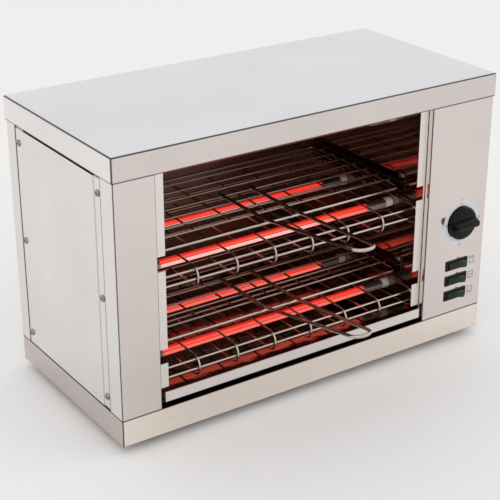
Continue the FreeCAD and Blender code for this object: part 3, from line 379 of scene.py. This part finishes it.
# Satin quartz with a hot winding inside. Its upper part glows orange-red, its lower part is
# paler with painted light where the wall catches the light from below and reddens to the
# right, a thin dark line of painted shadow lies between, and the top and bottom rims are
# darkened with painted shade. The red is stronger than white, as it is on a real heater, so
# that it lights what is round it. The top level has only just been switched on, and its red is faint.
glow = {
    "strengths": (1.7, 1.7, 0.12), "below": ("#C9574B", "#CE968E", "#C9574B"), "redder": "#C9574B",
    "redderFromX": 10, "redderToX": 90,
    "heights": (0.04, 0.14, 0.60, 0.66, 0.71, 0.76, 0.92, 1.0),  # of each tone, as a share of the tube
    "edge": "#8A1A12", "above": "#E22D20", "core": "#E2463A", "line": "#711906",
    "cold": "#5E524B", "body": "#5A1C12", "unlit": "#000000", "roughness": 0.2,
    "startX": -169, "endX": 125, "fade": 5, "coilPitch": 4.8, "bands": (0.88, 1.03),
}


def tubeTones(tree, height, lower, core):
    # From the bottom up: a rim of painted shade, the paler lower part of painted light, a line of painted
    # shadow, the core, the part above and a top rim of painted shade.
    tones = (glow["edge"], lower, lower, glow["line"], glow["line"], core, glow["above"], glow["edge"])
    ramp = addNode(tree, "ShaderNodeValToRGB", {}, {"Fac": height})
    setRamp(ramp, glow["heights"], tones)
    return ramp.outputs[0]


def glowingQuartz(name, axisZ, radius, level):
    material, tree, shader, place = startMaterial(
        name, {"Roughness": glow["roughness"], "Emission Strength": glow["strengths"][level]})
    spots = addNode(tree, "ShaderNodeSeparateXYZ", {}, {"Vector": place})
    height = addNode(tree, "ShaderNodeMapRange", {}, {
        "Value": spots.outputs["Z"], "From Min": axisZ - radius, "From Max": axisZ + radius}).outputs[0]
    along = addNode(tree, "ShaderNodeMapRange", {"interpolation_type": "SMOOTHSTEP"}, {
        "Value": spots.outputs["X"], "From Min": glow["redderFromX"] * mm,
        "From Max": glow["redderToX"] * mm})
    tone = addNode(tree, "ShaderNodeMix", {"data_type": "RGBA"}, {
        "Factor": along.outputs[0], "A": tubeTones(tree, height, glow["below"][level], glow["core"]),
        "B": tubeTones(tree, height, glow["redder"], glow["above"])})
    # A wave texture at scale 1 repeats every pi / 10 metres.
    turns = addNode(tree, "ShaderNodeTexWave", {"wave_type": "BANDS", "bands_direction": "X"}, {
        "Vector": place, "Scale": math.pi / (10 * glow["coilPitch"] * mm), "Distortion": 0.0})
    banded = addNode(tree, "ShaderNodeMapRange", {}, {
        "Value": turns.outputs["Fac"], "To Min": glow["bands"][0], "To Max": glow["bands"][1]})
    ends = []
    for at, inward in ((glow["startX"], 1), (glow["endX"], -1)):
        ends.append(addNode(tree, "ShaderNodeMapRange", {"interpolation_type": "SMOOTHSTEP"}, {
            "Value": spots.outputs["X"], "From Min": (at - inward * glow["fade"]) * mm,
            "From Max": (at + inward * glow["fade"]) * mm}).outputs[0])
    hot = addNode(tree, "ShaderNodeMath", {"operation": "MULTIPLY"}, {0: ends[0], 1: ends[1]})
    power = addNode(tree, "ShaderNodeMath", {"operation": "MULTIPLY"}, {
        0: hot.outputs[0], 1: banded.outputs[0]})
    light = addNode(tree, "ShaderNodeMix", {"data_type": "RGBA"}, {
        "Factor": power.outputs[0], "A": hexColour(glow["unlit"]), "B": tone.outputs["Result"]})
    skin = addNode(tree, "ShaderNodeMix", {"data_type": "RGBA"}, {
        "Factor": hot.outputs[0], "A": hexColour(glow["cold"]), "B": hexColour(glow["body"])})
    tree.links.new(light.outputs["Result"], shader.inputs["Emission Color"])
    tree.links.new(skin.outputs["Result"], shader.inputs["Base Color"])
    return material


# Dark green polycarbonate over a lamp: clear and glossy, and paler towards the lamp's end, where the lamp's
# light is painted into its colour.
lensLook = {
    "dark": "#101514", "pale": "#22362F", "roughness": 0.14, "shine": 0.3,
    "hazeMm": 1.5, "hazeStrength": 0.03,
}


def lensPlastic(name, fromX, toX):
    material, tree, shader, place = startMaterial(
        name, {"Roughness": lensLook["roughness"], "Specular IOR Level": lensLook["shine"]})
    spots = addNode(tree, "ShaderNodeSeparateXYZ", {}, {"Vector": place})
    along = addNode(tree, "ShaderNodeMapRange", {}, {
        "Value": spots.outputs["X"], "From Min": fromX, "From Max": toX})
    tone = addNode(tree, "ShaderNodeMix", {"data_type": "RGBA"}, {
        "Factor": along.outputs[0], "A": hexColour(lensLook["dark"]), "B": hexColour(lensLook["pale"])})
    haze = addNode(tree, "ShaderNodeTexNoise", {}, {
        "Vector": place, "Scale": 1 / (lensLook["hazeMm"] * mm), "Detail": 2.0})
    bump = addNode(tree, "ShaderNodeBump", {}, {
        "Height": haze.outputs["Fac"], "Strength": lensLook["hazeStrength"], "Distance": skinMm * mm})
    tree.links.new(tone.outputs["Result"], shader.inputs["Base Color"])
    tree.links.new(bump.outputs[0], shader.inputs["Normal"])
    return material


# Tones for faces that look up, to the front and to the side: painted light and shade.
bodyLitTones = {"up": "#DAD8D6", "front": "#DFD5D1", "side": "#E9E5E3"}
lidLitTones = {"up": "#D8D7DA", "front": "#D9D1CD", "side": "#F0ECEB"}
baseLitTones = {"up": "#D9CFC7", "front": "#F2E8DF", "side": "#CFC5C1"}
# A seam's line of painted shadow has the axis that it lies across, its place on that axis, and its reach in
# millimetres.
lidShadow = ("Z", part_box("top_cover")[0].z, 1.4)
baseShadow = ("Z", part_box("base_pan")[1].z, 1.2)
panelShadow = ("Y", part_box("left_side_panel")[0].y, 2.2)

steelLid = groundSteel("steel_ground_lid", lidLitTones, "X", [lidShadow])
# The side panels' shallow steps get less painted shade than a full fold.
steelSide = groundSteel("steel_ground_side", bodyLitTones, "Z", [baseShadow, panelShadow], foldShade=0.62)
steelPost = groundSteel("steel_ground_post", bodyLitTones, "Z", [lidShadow, baseShadow, panelShadow])
steelFace = groundSteel("steel_ground_face", bodyLitTones, "Z", [lidShadow, baseShadow, panelShadow], roughness=0.12)
steelRear = groundSteel("steel_ground_rear", bodyLitTones, "Z", [lidShadow, baseShadow])
steelBase = groundSteel("steel_ground_base", baseLitTones, "X", [baseShadow])
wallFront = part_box("chamber_right_wall")[0].y
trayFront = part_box("crumb_tray")[0].y
wallSteel = mirrorSteel("steel_bright_walls", "#A2887C", "#8B7064", roughness=0.05, patchMm=90, waveMm=45,
                        waveDepth=0.35, paleBefore=wallFront + mirror["flangeMm"] * mm)
# The back wall's tone is heat tint, and is darker than the side walls' as painted shade for the dim inside of
# the chamber.
backSteelShaded = mirrorSteel("steel_bright_back", "#6E5C52", "#57483F", roughness=0.22, patchMm=90, waveMm=60,
                           waveDepth=0.35)
traySteel = mirrorSteel("steel_bright_tray", "#9A877C", "#806E64", roughness=0.06, patchMm=60, waveMm=24,
                        waveDepth=0.5, paleBefore=trayFront + mirror["stripMm"] * mm)
chromeWire = browningWire("wire_chromed")
ceramic = shadedCeramic("steatite_glazed")
# Light tone, dark tone, roughness, grain in millimetres, and strength of the skin's bumps.
alloyWire = grained("wire_heating_alloy", "#9A4A30", "#7A3826", 0.4, 2, 0.05, metallic=1.0)
plainStrip = grained("steel_strip_plain", "#A09A94", "#8A8580", 0.35, 6, 0.05, metallic=1.0)
zincSteel = grained("steel_zinc_plated", "#A8A6A3", "#8A8885", 0.26, 1.5, 0.05, metallic=1.0)
timerCase = grained("steel_timer_case", "#A29D97", "#8F8B86", 0.4, 8, 0.05, metallic=1.0)
knobPlastic = grained("phenolic_polished", "#121214", "#0C0C0E", 0.16, 0.9, 0.03, shine=0.14)
switchPlastic = grained("nylon_switch_black", "#0F1011", "#0A0B0C", 0.4, 0.7, 0.1, shine=0.25)
gland = grained("nylon_gland_black", "#1D1D1E", "#141415", 0.5, 0.8, 0.15)
sleeve = grained("silicone_glass_sleeve", "#B7B2A4", "#A29D90", 0.65, 1.0, 0.3)
footRubber = grained("rubber_nitrile", "#1A1A1B", "#121213", 0.7, 1.2, 0.3)
printInk = grained("ink_grey_screen_printed", "#6C6E72", "#5E6064", 0.55, 0.8, 0.05)
printDark = grained("ink_black_screen_printed", "#2E3036", "#26282D", 0.55, 0.8, 0.05)
printPale = grained("ink_pale_screen_printed", "#DDDFE3", "#D8DADF", 0.55, 0.8, 0.05)

# A node takes the finish under its own name, or else the one of its material slot.
finishes = {
    "top_cover": steelLid, "left_side_panel": steelSide, "right_side_panel": steelSide,
    "rear_panel": steelRear, "base_pan": steelBase, "front_left_column": steelPost,
    "control_panel": steelFace, "chamber_left_wall": wallSteel, "chamber_right_wall": wallSteel,
    "crumb_tray": traySteel, "bus_bars": plainStrip, "timer_body": timerCase,
    "timer_knob": knobPlastic, "cable_gland": gland, "terminal_block": gland,
    "internal_leads": sleeve, "rubber_feet": footRubber,
}
bySlot = {
    "chamber_steel": backSteelShaded, "wire_steel": chromeWire, "zinc_steel": zincSteel, "ceramic": ceramic,
    "heater_alloy": alloyWire, "switch_black": switchPlastic, "switch_lens": switchPlastic, "quartz": ceramic,
}
slotOf = {part["node"]: part["material_slot"] for part in frame["record"]["subparts"]}
for name, node in nodes.items():
    finish = finishes.get(name) or bySlot[slotOf[name]]
    for holder in node.material_slots:
        holder.material = finish
print("materials on", len(nodes), "nodes")


# Camera, at the photograph's angle


camera = {
    "place": (-843.2, -1174.2, 803.1), "azimuth": -34.24, "elevation": 24.16, "lens": 96.5, "sensor": 36,
    "clipM": (0.05, 50),
}
lens = bpy.data.cameras.new("camera")
lens.lens = camera["lens"]
lens.sensor_width = camera["sensor"]
lens.clip_start, lens.clip_end = camera["clipM"]
viewer = bpy.data.objects.new("camera", lens)
around, above = math.radians(camera["azimuth"]), math.radians(camera["elevation"])
back = Vector((math.sin(around) * math.cos(above), -math.cos(around) * math.cos(above), math.sin(above)))
viewer.location = Vector(camera["place"]) * mm
viewer.rotation_mode = "QUATERNION"
viewer.rotation_quaternion = (-back).to_track_quat("-Z", "Y")
bpy.context.scene.collection.objects.link(viewer)
bpy.context.scene.camera = viewer


# Floor, surroundings and lamps


# The studio is in metres. What a camera, mirror or glass sees of the sky is plain white.
studio = {
    "floorSize": 16.0, "skyLight": 0.93, "aim": (0, 0, 0.15),
    "key": {"place": (-2.2, -2.4, 3.0), "size": 3.4, "watts": 13},
    "fill": {"place": (2.6, -1.8, 2.0), "size": 2.6, "watts": 8},
}
bm = bmesh.new()
bmesh.ops.create_grid(bm, x_segments=1, y_segments=1, size=studio["floorSize"] / 2)
floorMesh = bpy.data.meshes.new("floor")
bm.to_mesh(floorMesh)
bm.free()
floor = bpy.data.objects.new("floor", floorMesh)
bpy.context.scene.collection.objects.link(floor)
floorMesh.materials.append(grained("floor_matt_paint", "#F4F3F2", "#F1F0EF", 0.8, 2, 0.0))

world = bpy.data.worlds.new("studio")
world.use_nodes = True
bpy.context.scene.world = world
sky = world.node_tree
rays = addNode(sky, "ShaderNodeLightPath")
seen = rays.outputs["Is Camera Ray"]
for kind in ("Is Glossy Ray", "Is Transmission Ray"):
    seen = addNode(sky, "ShaderNodeMath", {"operation": "MAXIMUM"}, {
        0: seen, 1: rays.outputs[kind]}).outputs[0]
strength = addNode(sky, "ShaderNodeMapRange", {}, {
    "Value": seen, "To Min": studio["skyLight"], "To Max": 1.0})
sky.nodes["Background"].inputs["Color"].default_value = (1, 1, 1, 1)
sky.links.new(strength.outputs[0], sky.nodes["Background"].inputs["Strength"])

for name in ("key", "fill"):
    lamp = studio[name]
    light = bpy.data.lights.new(name, "AREA")
    light.shape = "SQUARE"
    light.size = lamp["size"]
    light.energy = lamp["watts"]
    holder = bpy.data.objects.new(name, light)
    holder.location = lamp["place"]
    holder.rotation_mode = "QUATERNION"
    holder.rotation_quaternion = (Vector(studio["aim"]) - holder.location).to_track_quat("-Z", "Y")
    bpy.context.scene.collection.objects.link(holder)
bpy.context.scene.view_settings.view_transform = "Standard"
print("camera, floor and lamps")


# Racks: a closed frame, seven wires across it and a hairpin handle, welded where they cross


rack = {
    "frameR": 2.0, "crossR": 1.4, "cornerR": 9.0, "wires": 7, "sides": 16,
    "legHalfW": 21.5, "legBend": 20.0, "tipHalfW": 12.0, "tipR": 11.4, "legBendOut": 3.0,
    "bead": 1.25, "beadStretch": (1.2, 1.2, 0.7),
}


def rackPieces(level):
    body = level + "_rack"
    r = rack["frameR"] * mm
    low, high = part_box(level + "_rack_frame")
    left, right, front, rear = low.x + r, high.x - r, low.y + r, high.y - r
    z = (low.z + high.z) / 2
    mid = (left + right) / 2
    corner = rack["cornerR"] * mm
    bm = bmesh.new()
    drawWire(bm, [(mid, front, z), (right, front, z), (right, rear, z), (left, rear, z),
                  (left, front, z), (mid, front, z)], [0, corner, corner, corner, corner, 0],
             r, rack["sides"], closed=True)
    newPiece(level + "_rack_frame_wire", bm, chromeWire, body, [level + "_rack_frame"])

    low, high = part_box(level + "_rack_wires")
    cross = rack["crossR"] * mm
    crossZ = (low.z + high.z) / 2
    pitch = (high.y - low.y - 2 * cross) / (rack["wires"] - 1)
    rows = [low.y + cross + pitch * k for k in range(rack["wires"])]
    bead = rack["bead"] * mm
    bm = bmesh.new()
    for y in rows:
        drawWire(bm, [(low.x, y, crossZ), (high.x, y, crossZ)], [0, 0], cross, rack["sides"])
        for x in (left, right):
            weldBead(bm, (x, y, crossZ - cross), bead, rack["beadStretch"])
    newPiece(level + "_rack_cross_wires", bm, chromeWire, body, [level + "_rack_wires"])

    low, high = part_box(level + "_rack_handle")
    legZ = low.z + r
    half, tipHalf = rack["legHalfW"] * mm, rack["tipHalfW"] * mm
    legX = (low.x + high.x) / 2
    bendY = front - rack["legBendOut"] * mm
    tipY, tipZ = low.y + r, high.z - r
    points = [(legX - half, high.y, legZ), (legX - half, bendY, legZ), (legX - tipHalf, tipY, tipZ),
              (legX + tipHalf, tipY, tipZ), (legX + half, bendY, legZ), (legX + half, high.y, legZ)]
    legBend, tipBend = rack["legBend"] * mm, rack["tipR"] * mm
    bm = bmesh.new()
    drawWire(bm, points, [0, legBend, tipBend, tipBend, legBend, 0], r, rack["sides"])
    for y in rows:
        if y < high.y:
            for x in (legX - half, legX + half):
                weldBead(bm, (x, y, legZ - r), bead, rack["beadStretch"])
    newPiece(level + "_rack_handle_wire", bm, chromeWire, body, [level + "_rack_handle"])


for level in ("lower", "upper"):
    rackPieces(level)
print("racks")


# Guards round the lower two levels of tubes: hoops, and rods welded across their insides


guard = {
    "wireR": 1.25, "barR": 1.5, "wires": 8, "sides": 14, "gap": 0.1, "angles": (60.0, -10.0),
    "rearInset": 27.0, "bead": 1.15, "beadStretch": (1.2, 1.0, 1.0),
}


def guardPieces(level):
    r, barR = guard["wireR"] * mm, guard["barR"] * mm
    low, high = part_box(level + "_guard_wires")
    topZ, lowZ = high.z - r, low.z + r
    front, rear = low.y + r, high.y
    bend = (topZ - lowZ) / 2
    pitch = (high.x - low.x - 2 * r) / (guard["wires"] - 1)
    contact = bend - r
    inside = contact - barR - guard["gap"] * mm
    centreY, centreZ = front + bend, (topZ + lowZ) / 2
    rearY = rear - guard["rearInset"] * mm
    midY = (middle("quartz_tube_1").y + middle("quartz_tube_2").y) / 2
    bars = [(centreY, -math.cos(math.radians(a)), math.sin(math.radians(a))) for a in guard["angles"]]
    bars += [(rearY, 0, 1), (rearY, 0, -1), (midY, 0, 1)]

    bm = bmesh.new()
    for k in range(guard["wires"]):
        x = low.x + r + pitch * k
        drawWire(bm, [(x, rear, topZ), (x, front, topZ), (x, front, lowZ), (x, rear, lowZ)],
                 [0, bend, bend, 0], r, guard["sides"], bendSteps=12)
        for y, dy, dz in bars:
            touch = (x, y + dy * contact, centreZ + dz * contact)
            weldBead(bm, touch, guard["bead"] * mm, guard["beadStretch"])
    newPiece(level + "_guard_hoops", bm, chromeWire, "casing", [level + "_guard_wires"])

    low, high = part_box(level + "_guard_bars")
    bm = bmesh.new()
    for y, dy, dz in bars:
        place = (y + dy * inside, centreZ + dz * inside)
        drawWire(bm, [(low.x, *place), (high.x, *place)], [0, 0], barR, guard["sides"])
    newPiece(level + "_guard_rods", bm, chromeWire, "casing", [level + "_guard_bars"])


for level in ("lower", "middle"):
    guardPieces(level)
print("guards")


# Heating tubes, each with its winding


tube = {"wall": 1.0, "sides": 40}
coil = {"wireR": 0.45, "radius": 2.95, "pitch": 2.4, "stepsPerTurn": 12, "sides": 6, "leadR": 1.0,
        "leadSides": 12, "pastGlow": 6.0}


def quartzPiece(number):
    name = "quartz_tube_" + str(number)
    low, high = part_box(name)
    radius = (high.z - low.z) / 2
    centre = (low + high) / 2
    start = Matrix.Translation((low.x, centre.y, centre.z)) @ Matrix.Rotation(math.radians(90), 4, "Y")
    bm = bmesh.new()
    near, far = [], []
    for r in (radius, radius - tube["wall"] * mm):
        edges = ringAt(bm, start, r, tube["sides"])[1]
        near += edges
        far += pullEdges(bm, edges, (high.x - low.x, 0, 0))
    bmesh.ops.bridge_loops(bm, edges=near)
    bmesh.ops.bridge_loops(bm, edges=far)
    material = glowingQuartz("quartz_satin_" + str(number), centre.z, radius, (number - 1) // 2)
    newPiece(name + "_glass", bm, material, "casing", [name])


# One turn of the helix is spun, and its copies follow each other along the tube.
def windingMesh(length):
    turns = round(length / (coil["pitch"] * mm))
    pitch = length / turns
    bm = bmesh.new()
    ring = Matrix.Translation((0, 0, coil["radius"] * mm)) @ Matrix.Rotation(math.radians(90), 4, "X")
    verts, edges = ringAt(bm, ring, coil["wireR"] * mm, coil["sides"])
    bmesh.ops.spin(bm, geom=verts + edges, cent=(0, 0, 0), axis=(1, 0, 0), angle=math.tau,
                   dvec=(pitch / coil["stepsPerTurn"], 0, 0), steps=coil["stepsPerTurn"], use_duplicate=False)
    turn = bm.verts[:] + bm.edges[:] + bm.faces[:]
    for k in range(1, turns):
        copy = bmesh.ops.duplicate(bm, geom=turn)["geom"]
        moved = [g for g in copy if isinstance(g, bmesh.types.BMVert)]
        bmesh.ops.translate(bm, verts=moved, vec=(pitch * k, 0, 0))
    bmesh.ops.remove_doubles(bm, verts=bm.verts[:], dist=meshing["weld"] * mm)
    bmesh.ops.holes_fill(bm, edges=[edge for edge in bm.edges if edge.is_boundary])
    mesh = bpy.data.meshes.new("winding")
    bm.to_mesh(mesh)
    bm.free()
    return mesh


winding = windingMesh((glow["endX"] - glow["startX"] + 2 * coil["pastGlow"]) * mm)


def windingPiece(number):
    low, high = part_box("heater_coil_" + str(number))
    y = middle("quartz_tube_" + str(number)).y
    z = high.z - (coil["radius"] + coil["wireR"]) * mm
    startX, endX = (glow["startX"] - coil["pastGlow"]) * mm, (glow["endX"] + coil["pastGlow"]) * mm
    bm = bmesh.new()
    bm.from_mesh(winding)
    bmesh.ops.translate(bm, verts=bm.verts[:], vec=(startX, y, z))
    for x0, x1 in ((low.x, startX), (endX, high.x)):
        drawWire(bm, [(x0, y, z), (x1, y, z)], [0, 0], coil["leadR"] * mm, coil["leadSides"])
    newPiece("heater_winding_" + str(number), bm, alloyWire, "casing",
             ["heater_coil_" + str(number)])


for number in range(1, 7):
    quartzPiece(number)
    windingPiece(number)
bpy.data.meshes.remove(winding)
print("heating tubes")


# Timer knob: a turned disc with a raised middle, and a finger grip across it


knob = {
    "turned": [(0, 5.0), (10.0, 5.0), (10.0, 0), (20.3, 0), (21.0, 0.7), (21.0, 4.0),  # radius, height
               (20.7, 4.6), (20.1, 4.9), (19.9, 5.8), (19.2, 6.5), (18.0, 6.8), (0, 7.1)],
    "steps": 72, "gripL": 40.0, "gripW": 12.0, "gripFrom": 5.6, "gripTo": 15.0, "narrowEnd": 0.88,
    "narrowSide": 0.62, "cornerR": 2.6, "cornerSteps": 5, "edgeR": 1.1, "edgeSteps": 3,
}


def knobPiece():
    low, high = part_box("timer_knob")
    centre = Vector(((low.x + high.x) / 2, high.y, (low.z + high.z) / 2))
    bm = bmesh.new()
    verts = [bm.verts.new(centre + Vector((radius, -out, 0)) * mm) for radius, out in knob["turned"]]
    edges = [bm.edges.new(pair) for pair in zip(verts, verts[1:])]
    bmesh.ops.spin(bm, geom=verts + edges, cent=centre, axis=(0, 1, 0), angle=math.tau, steps=knob["steps"],
                   use_merge=True, use_duplicate=False)
    bmesh.ops.remove_doubles(bm, verts=bm.verts[:], dist=meshing["weld"] * mm)

    deep = knob["gripTo"] - knob["gripFrom"]
    size = Matrix.Diagonal((knob["gripL"] * mm, deep * mm, knob["gripW"] * mm, 1))
    place = centre - Vector((0, (knob["gripFrom"] + deep / 2) * mm, 0))
    grip = bmesh.new()
    bmesh.ops.create_cube(grip, size=1.0, matrix=Matrix.Translation(place) @ size)
    front = [vert for vert in grip.verts if vert.co.y < place.y]
    bmesh.ops.scale(grip, vec=(knob["narrowEnd"], 1, knob["narrowSide"]), verts=front,
                    space=Matrix.Translation(-centre))
    upright = [edge for edge in grip.edges if abs(edge.verts[0].co.y - edge.verts[1].co.y) > deep / 2 * mm]
    roundEdges(grip, upright, knob["cornerR"] * mm, knob["cornerSteps"])
    rim = [edge for edge in grip.edges if all(vert.co.y < place.y for vert in edge.verts)]
    roundEdges(grip, rim, knob["edgeR"] * mm, knob["edgeSteps"])
    spare = bpy.data.meshes.new("grip")
    grip.to_mesh(spare)
    grip.free()
    bm.from_mesh(spare)
    bpy.data.meshes.remove(spare)
    newPiece("timer_knob_moulding", bm, knobPlastic, "timer_dial", ["timer_knob"])


knobPiece()


# Rocker switches: a lens shaped like a shallow V in plan, which tips about an upright pin


rocker = {
    "halfW": 12.2, "waist": 10.4, "backHalfW": 5.5, "waistOut": 1.0, "backIn": 4.0, "height": 8.6,
    "tilt": 11.0, "rise": 7.5, "pivotIn": 6.0, "edge": 0.45, "edgeSteps": 3, "sharpFrom": 35,
    "pivotR": 1.0, "pivotSides": 16, "paleFrom": -2.0, "paleTo": 11.0,
}
first = middle("upper_switch_rocker")
lensPaint = lensPlastic("polycarbonate_lens_dark", first.x + rocker["paleFrom"] * mm,
                        first.x + rocker["paleTo"] * mm)


def rockerPiece(name):
    low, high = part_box(name + "_switch_rocker")
    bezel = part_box(name + "_switch_housing")
    pivot = Vector(((bezel[0].x + bezel[1].x) / 2, bezel[0].y + rocker["pivotIn"] * mm,
                    (bezel[0].z + bezel[1].z) / 2))
    half, rise = rocker["halfW"], rocker["rise"]
    tip = rise + half * math.tan(math.radians(rocker["tilt"]))
    outline = [(-half, -tip), (0, -rise), (half, -tip),
               (rocker["waist"], -rocker["waistOut"]), (rocker["backHalfW"], rocker["backIn"]),
               (-rocker["backHalfW"], rocker["backIn"]), (-rocker["waist"], -rocker["waistOut"])]
    bm = bmesh.new()
    foot = pivot - Vector((0, 0, rocker["height"] / 2 * mm))
    face = bm.faces.new([bm.verts.new(foot + Vector((x * mm, y * mm, 0))) for x, y in outline])
    grown = bmesh.ops.extrude_face_region(bm, geom=[face])["geom"]
    verts = [g for g in grown if isinstance(g, bmesh.types.BMVert)]
    bmesh.ops.translate(bm, verts=verts, vec=(0, 0, rocker["height"] * mm))
    bmesh.ops.recalc_face_normals(bm, faces=bm.faces[:])
    sharp = [edge for edge in bm.edges if edge.calc_face_angle(0) > math.radians(rocker["sharpFrom"])]
    roundEdges(bm, sharp, rocker["edge"] * mm, rocker["edgeSteps"], clamp=True)
    pinR = rocker["pivotR"] * mm
    bmesh.ops.create_cone(bm, cap_ends=True, segments=rocker["pivotSides"], radius1=pinR, radius2=pinR,
                          depth=high.z - low.z, matrix=Matrix.Translation(pivot))
    bmesh.ops.rotate(bm, verts=bm.verts[:], cent=pivot,
                     matrix=Matrix.Rotation(math.radians(-rocker["tilt"]), 3, "Z"))
    newPiece(name + "_rocker_lens", bm, lensPaint, name + "_rocker", [name + "_switch_rocker"])


for name in ("upper", "middle", "lower"):
    rockerPiece(name)
print("controls")


# Prints on the control panel: a pale ring with four ticks and plain minutes round the knob,
# and a small shelf sign beside each switch


prints = {"proud": 0.06, "tickIn": 22.2, "tickL": 3.4, "tickW": 0.8, "numberR": 29.8, "numberH": 4.6,
          "minutes": ("5", "10", "15", "0"), "weld": 0.001, "scaleR": (21.4, 27.4), "scaleProud": 0.03,
          "scaleSteps": 96}
shelfSign = {"width": 7.4, "height": 8.4, "line": 0.8, "fromSwitch": 7.6, "bars": (2.2, 0.0, -2.2)}
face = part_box("front_left_column")[0].y  # the control panel's front lies in the same plane


def flatBox(bm, x, z, width, height, turn=0.0, about=None):
    matrix = Matrix.Translation((x, face - prints["proud"] / 2 * mm, z))
    matrix = matrix @ Matrix.Diagonal((width, prints["proud"] * mm, height, 1))
    made = bmesh.ops.create_cube(bm, size=1.0, matrix=matrix)["verts"]
    if turn:
        bmesh.ops.rotate(bm, verts=made, cent=about, matrix=Matrix.Rotation(turn, 3, "Y"))


def dialPrint():
    axis = middle("timer_shaft")
    bm = bmesh.new()
    for quarter in range(4):
        flatBox(bm, axis.x, axis.z + (prints["tickIn"] + prints["tickL"] / 2) * mm, prints["tickW"] * mm,
                prints["tickL"] * mm, math.radians(90 * quarter), Vector((axis.x, 0, axis.z)))
    newPiece("dial_ticks", bm, printDark, "casing")

    bm = bmesh.new()
    for quarter, words in enumerate(prints["minutes"]):
        curve = bpy.data.curves.new("minutes", "FONT")
        curve.body = words
        curve.size = prints["numberH"] * mm
        curve.align_x = "CENTER"
        curve.align_y = "CENTER"
        curve.extrude = prints["proud"] / 2 * mm
        shown = bpy.data.objects.new("minutes", curve)
        made = bpy.data.meshes.new_from_object(shown)
        turn = math.radians(90 * quarter)
        radius = prints["numberR"] * mm
        made.transform(Matrix.Translation((axis.x + radius * math.sin(turn), face - prints["proud"] / 2 * mm,
                                           axis.z + radius * math.cos(turn)))
                       @ Matrix.Rotation(math.radians(90), 4, "X"))
        bm.from_mesh(made)
        bpy.data.objects.remove(shown)
        bpy.data.curves.remove(curve)
        bpy.data.meshes.remove(made)
    bmesh.ops.remove_doubles(bm, verts=bm.verts[:], dist=prints["weld"] * mm)
    newPiece("dial_numbers", bm, printInk, "casing")

    bm = bmesh.new()
    corner = Vector((axis.x, face, axis.z))
    loop = [bm.verts.new(corner + Vector((radius, -out, 0)) * mm) for radius in prints["scaleR"]
            for out in (0, prints["scaleProud"])]
    order = (loop[0], loop[1], loop[3], loop[2])
    edges = [bm.edges.new(pair) for pair in zip(order, order[1:] + order[:1])]
    bmesh.ops.spin(bm, geom=loop + edges, cent=corner, axis=(0, 1, 0), angle=math.tau,
                   steps=prints["scaleSteps"], use_merge=True, use_duplicate=False)
    newPiece("dial_scale", bm, printPale, "casing")


def shelfSigns():
    bm = bmesh.new()
    halfW, halfH, line = shelfSign["width"] / 2 * mm, shelfSign["height"] / 2 * mm, shelfSign["line"] * mm
    for name, bar in zip(("upper", "middle", "lower"), shelfSign["bars"]):
        low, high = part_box(name + "_switch_housing")
        x = high.x + shelfSign["fromSwitch"] * mm
        z = (low.z + high.z) / 2
        for side in (-1, 1):
            flatBox(bm, x, z + side * halfH, 2 * halfW + line, line)
            flatBox(bm, x + side * halfW, z, line, 2 * halfH - line)
        flatBox(bm, x, z + bar * mm, 2 * halfW - 3 * line, line)
    newPiece("shelf_signs", bm, printInk, "casing")


dialPrint()
shelfSigns()
print("prints")
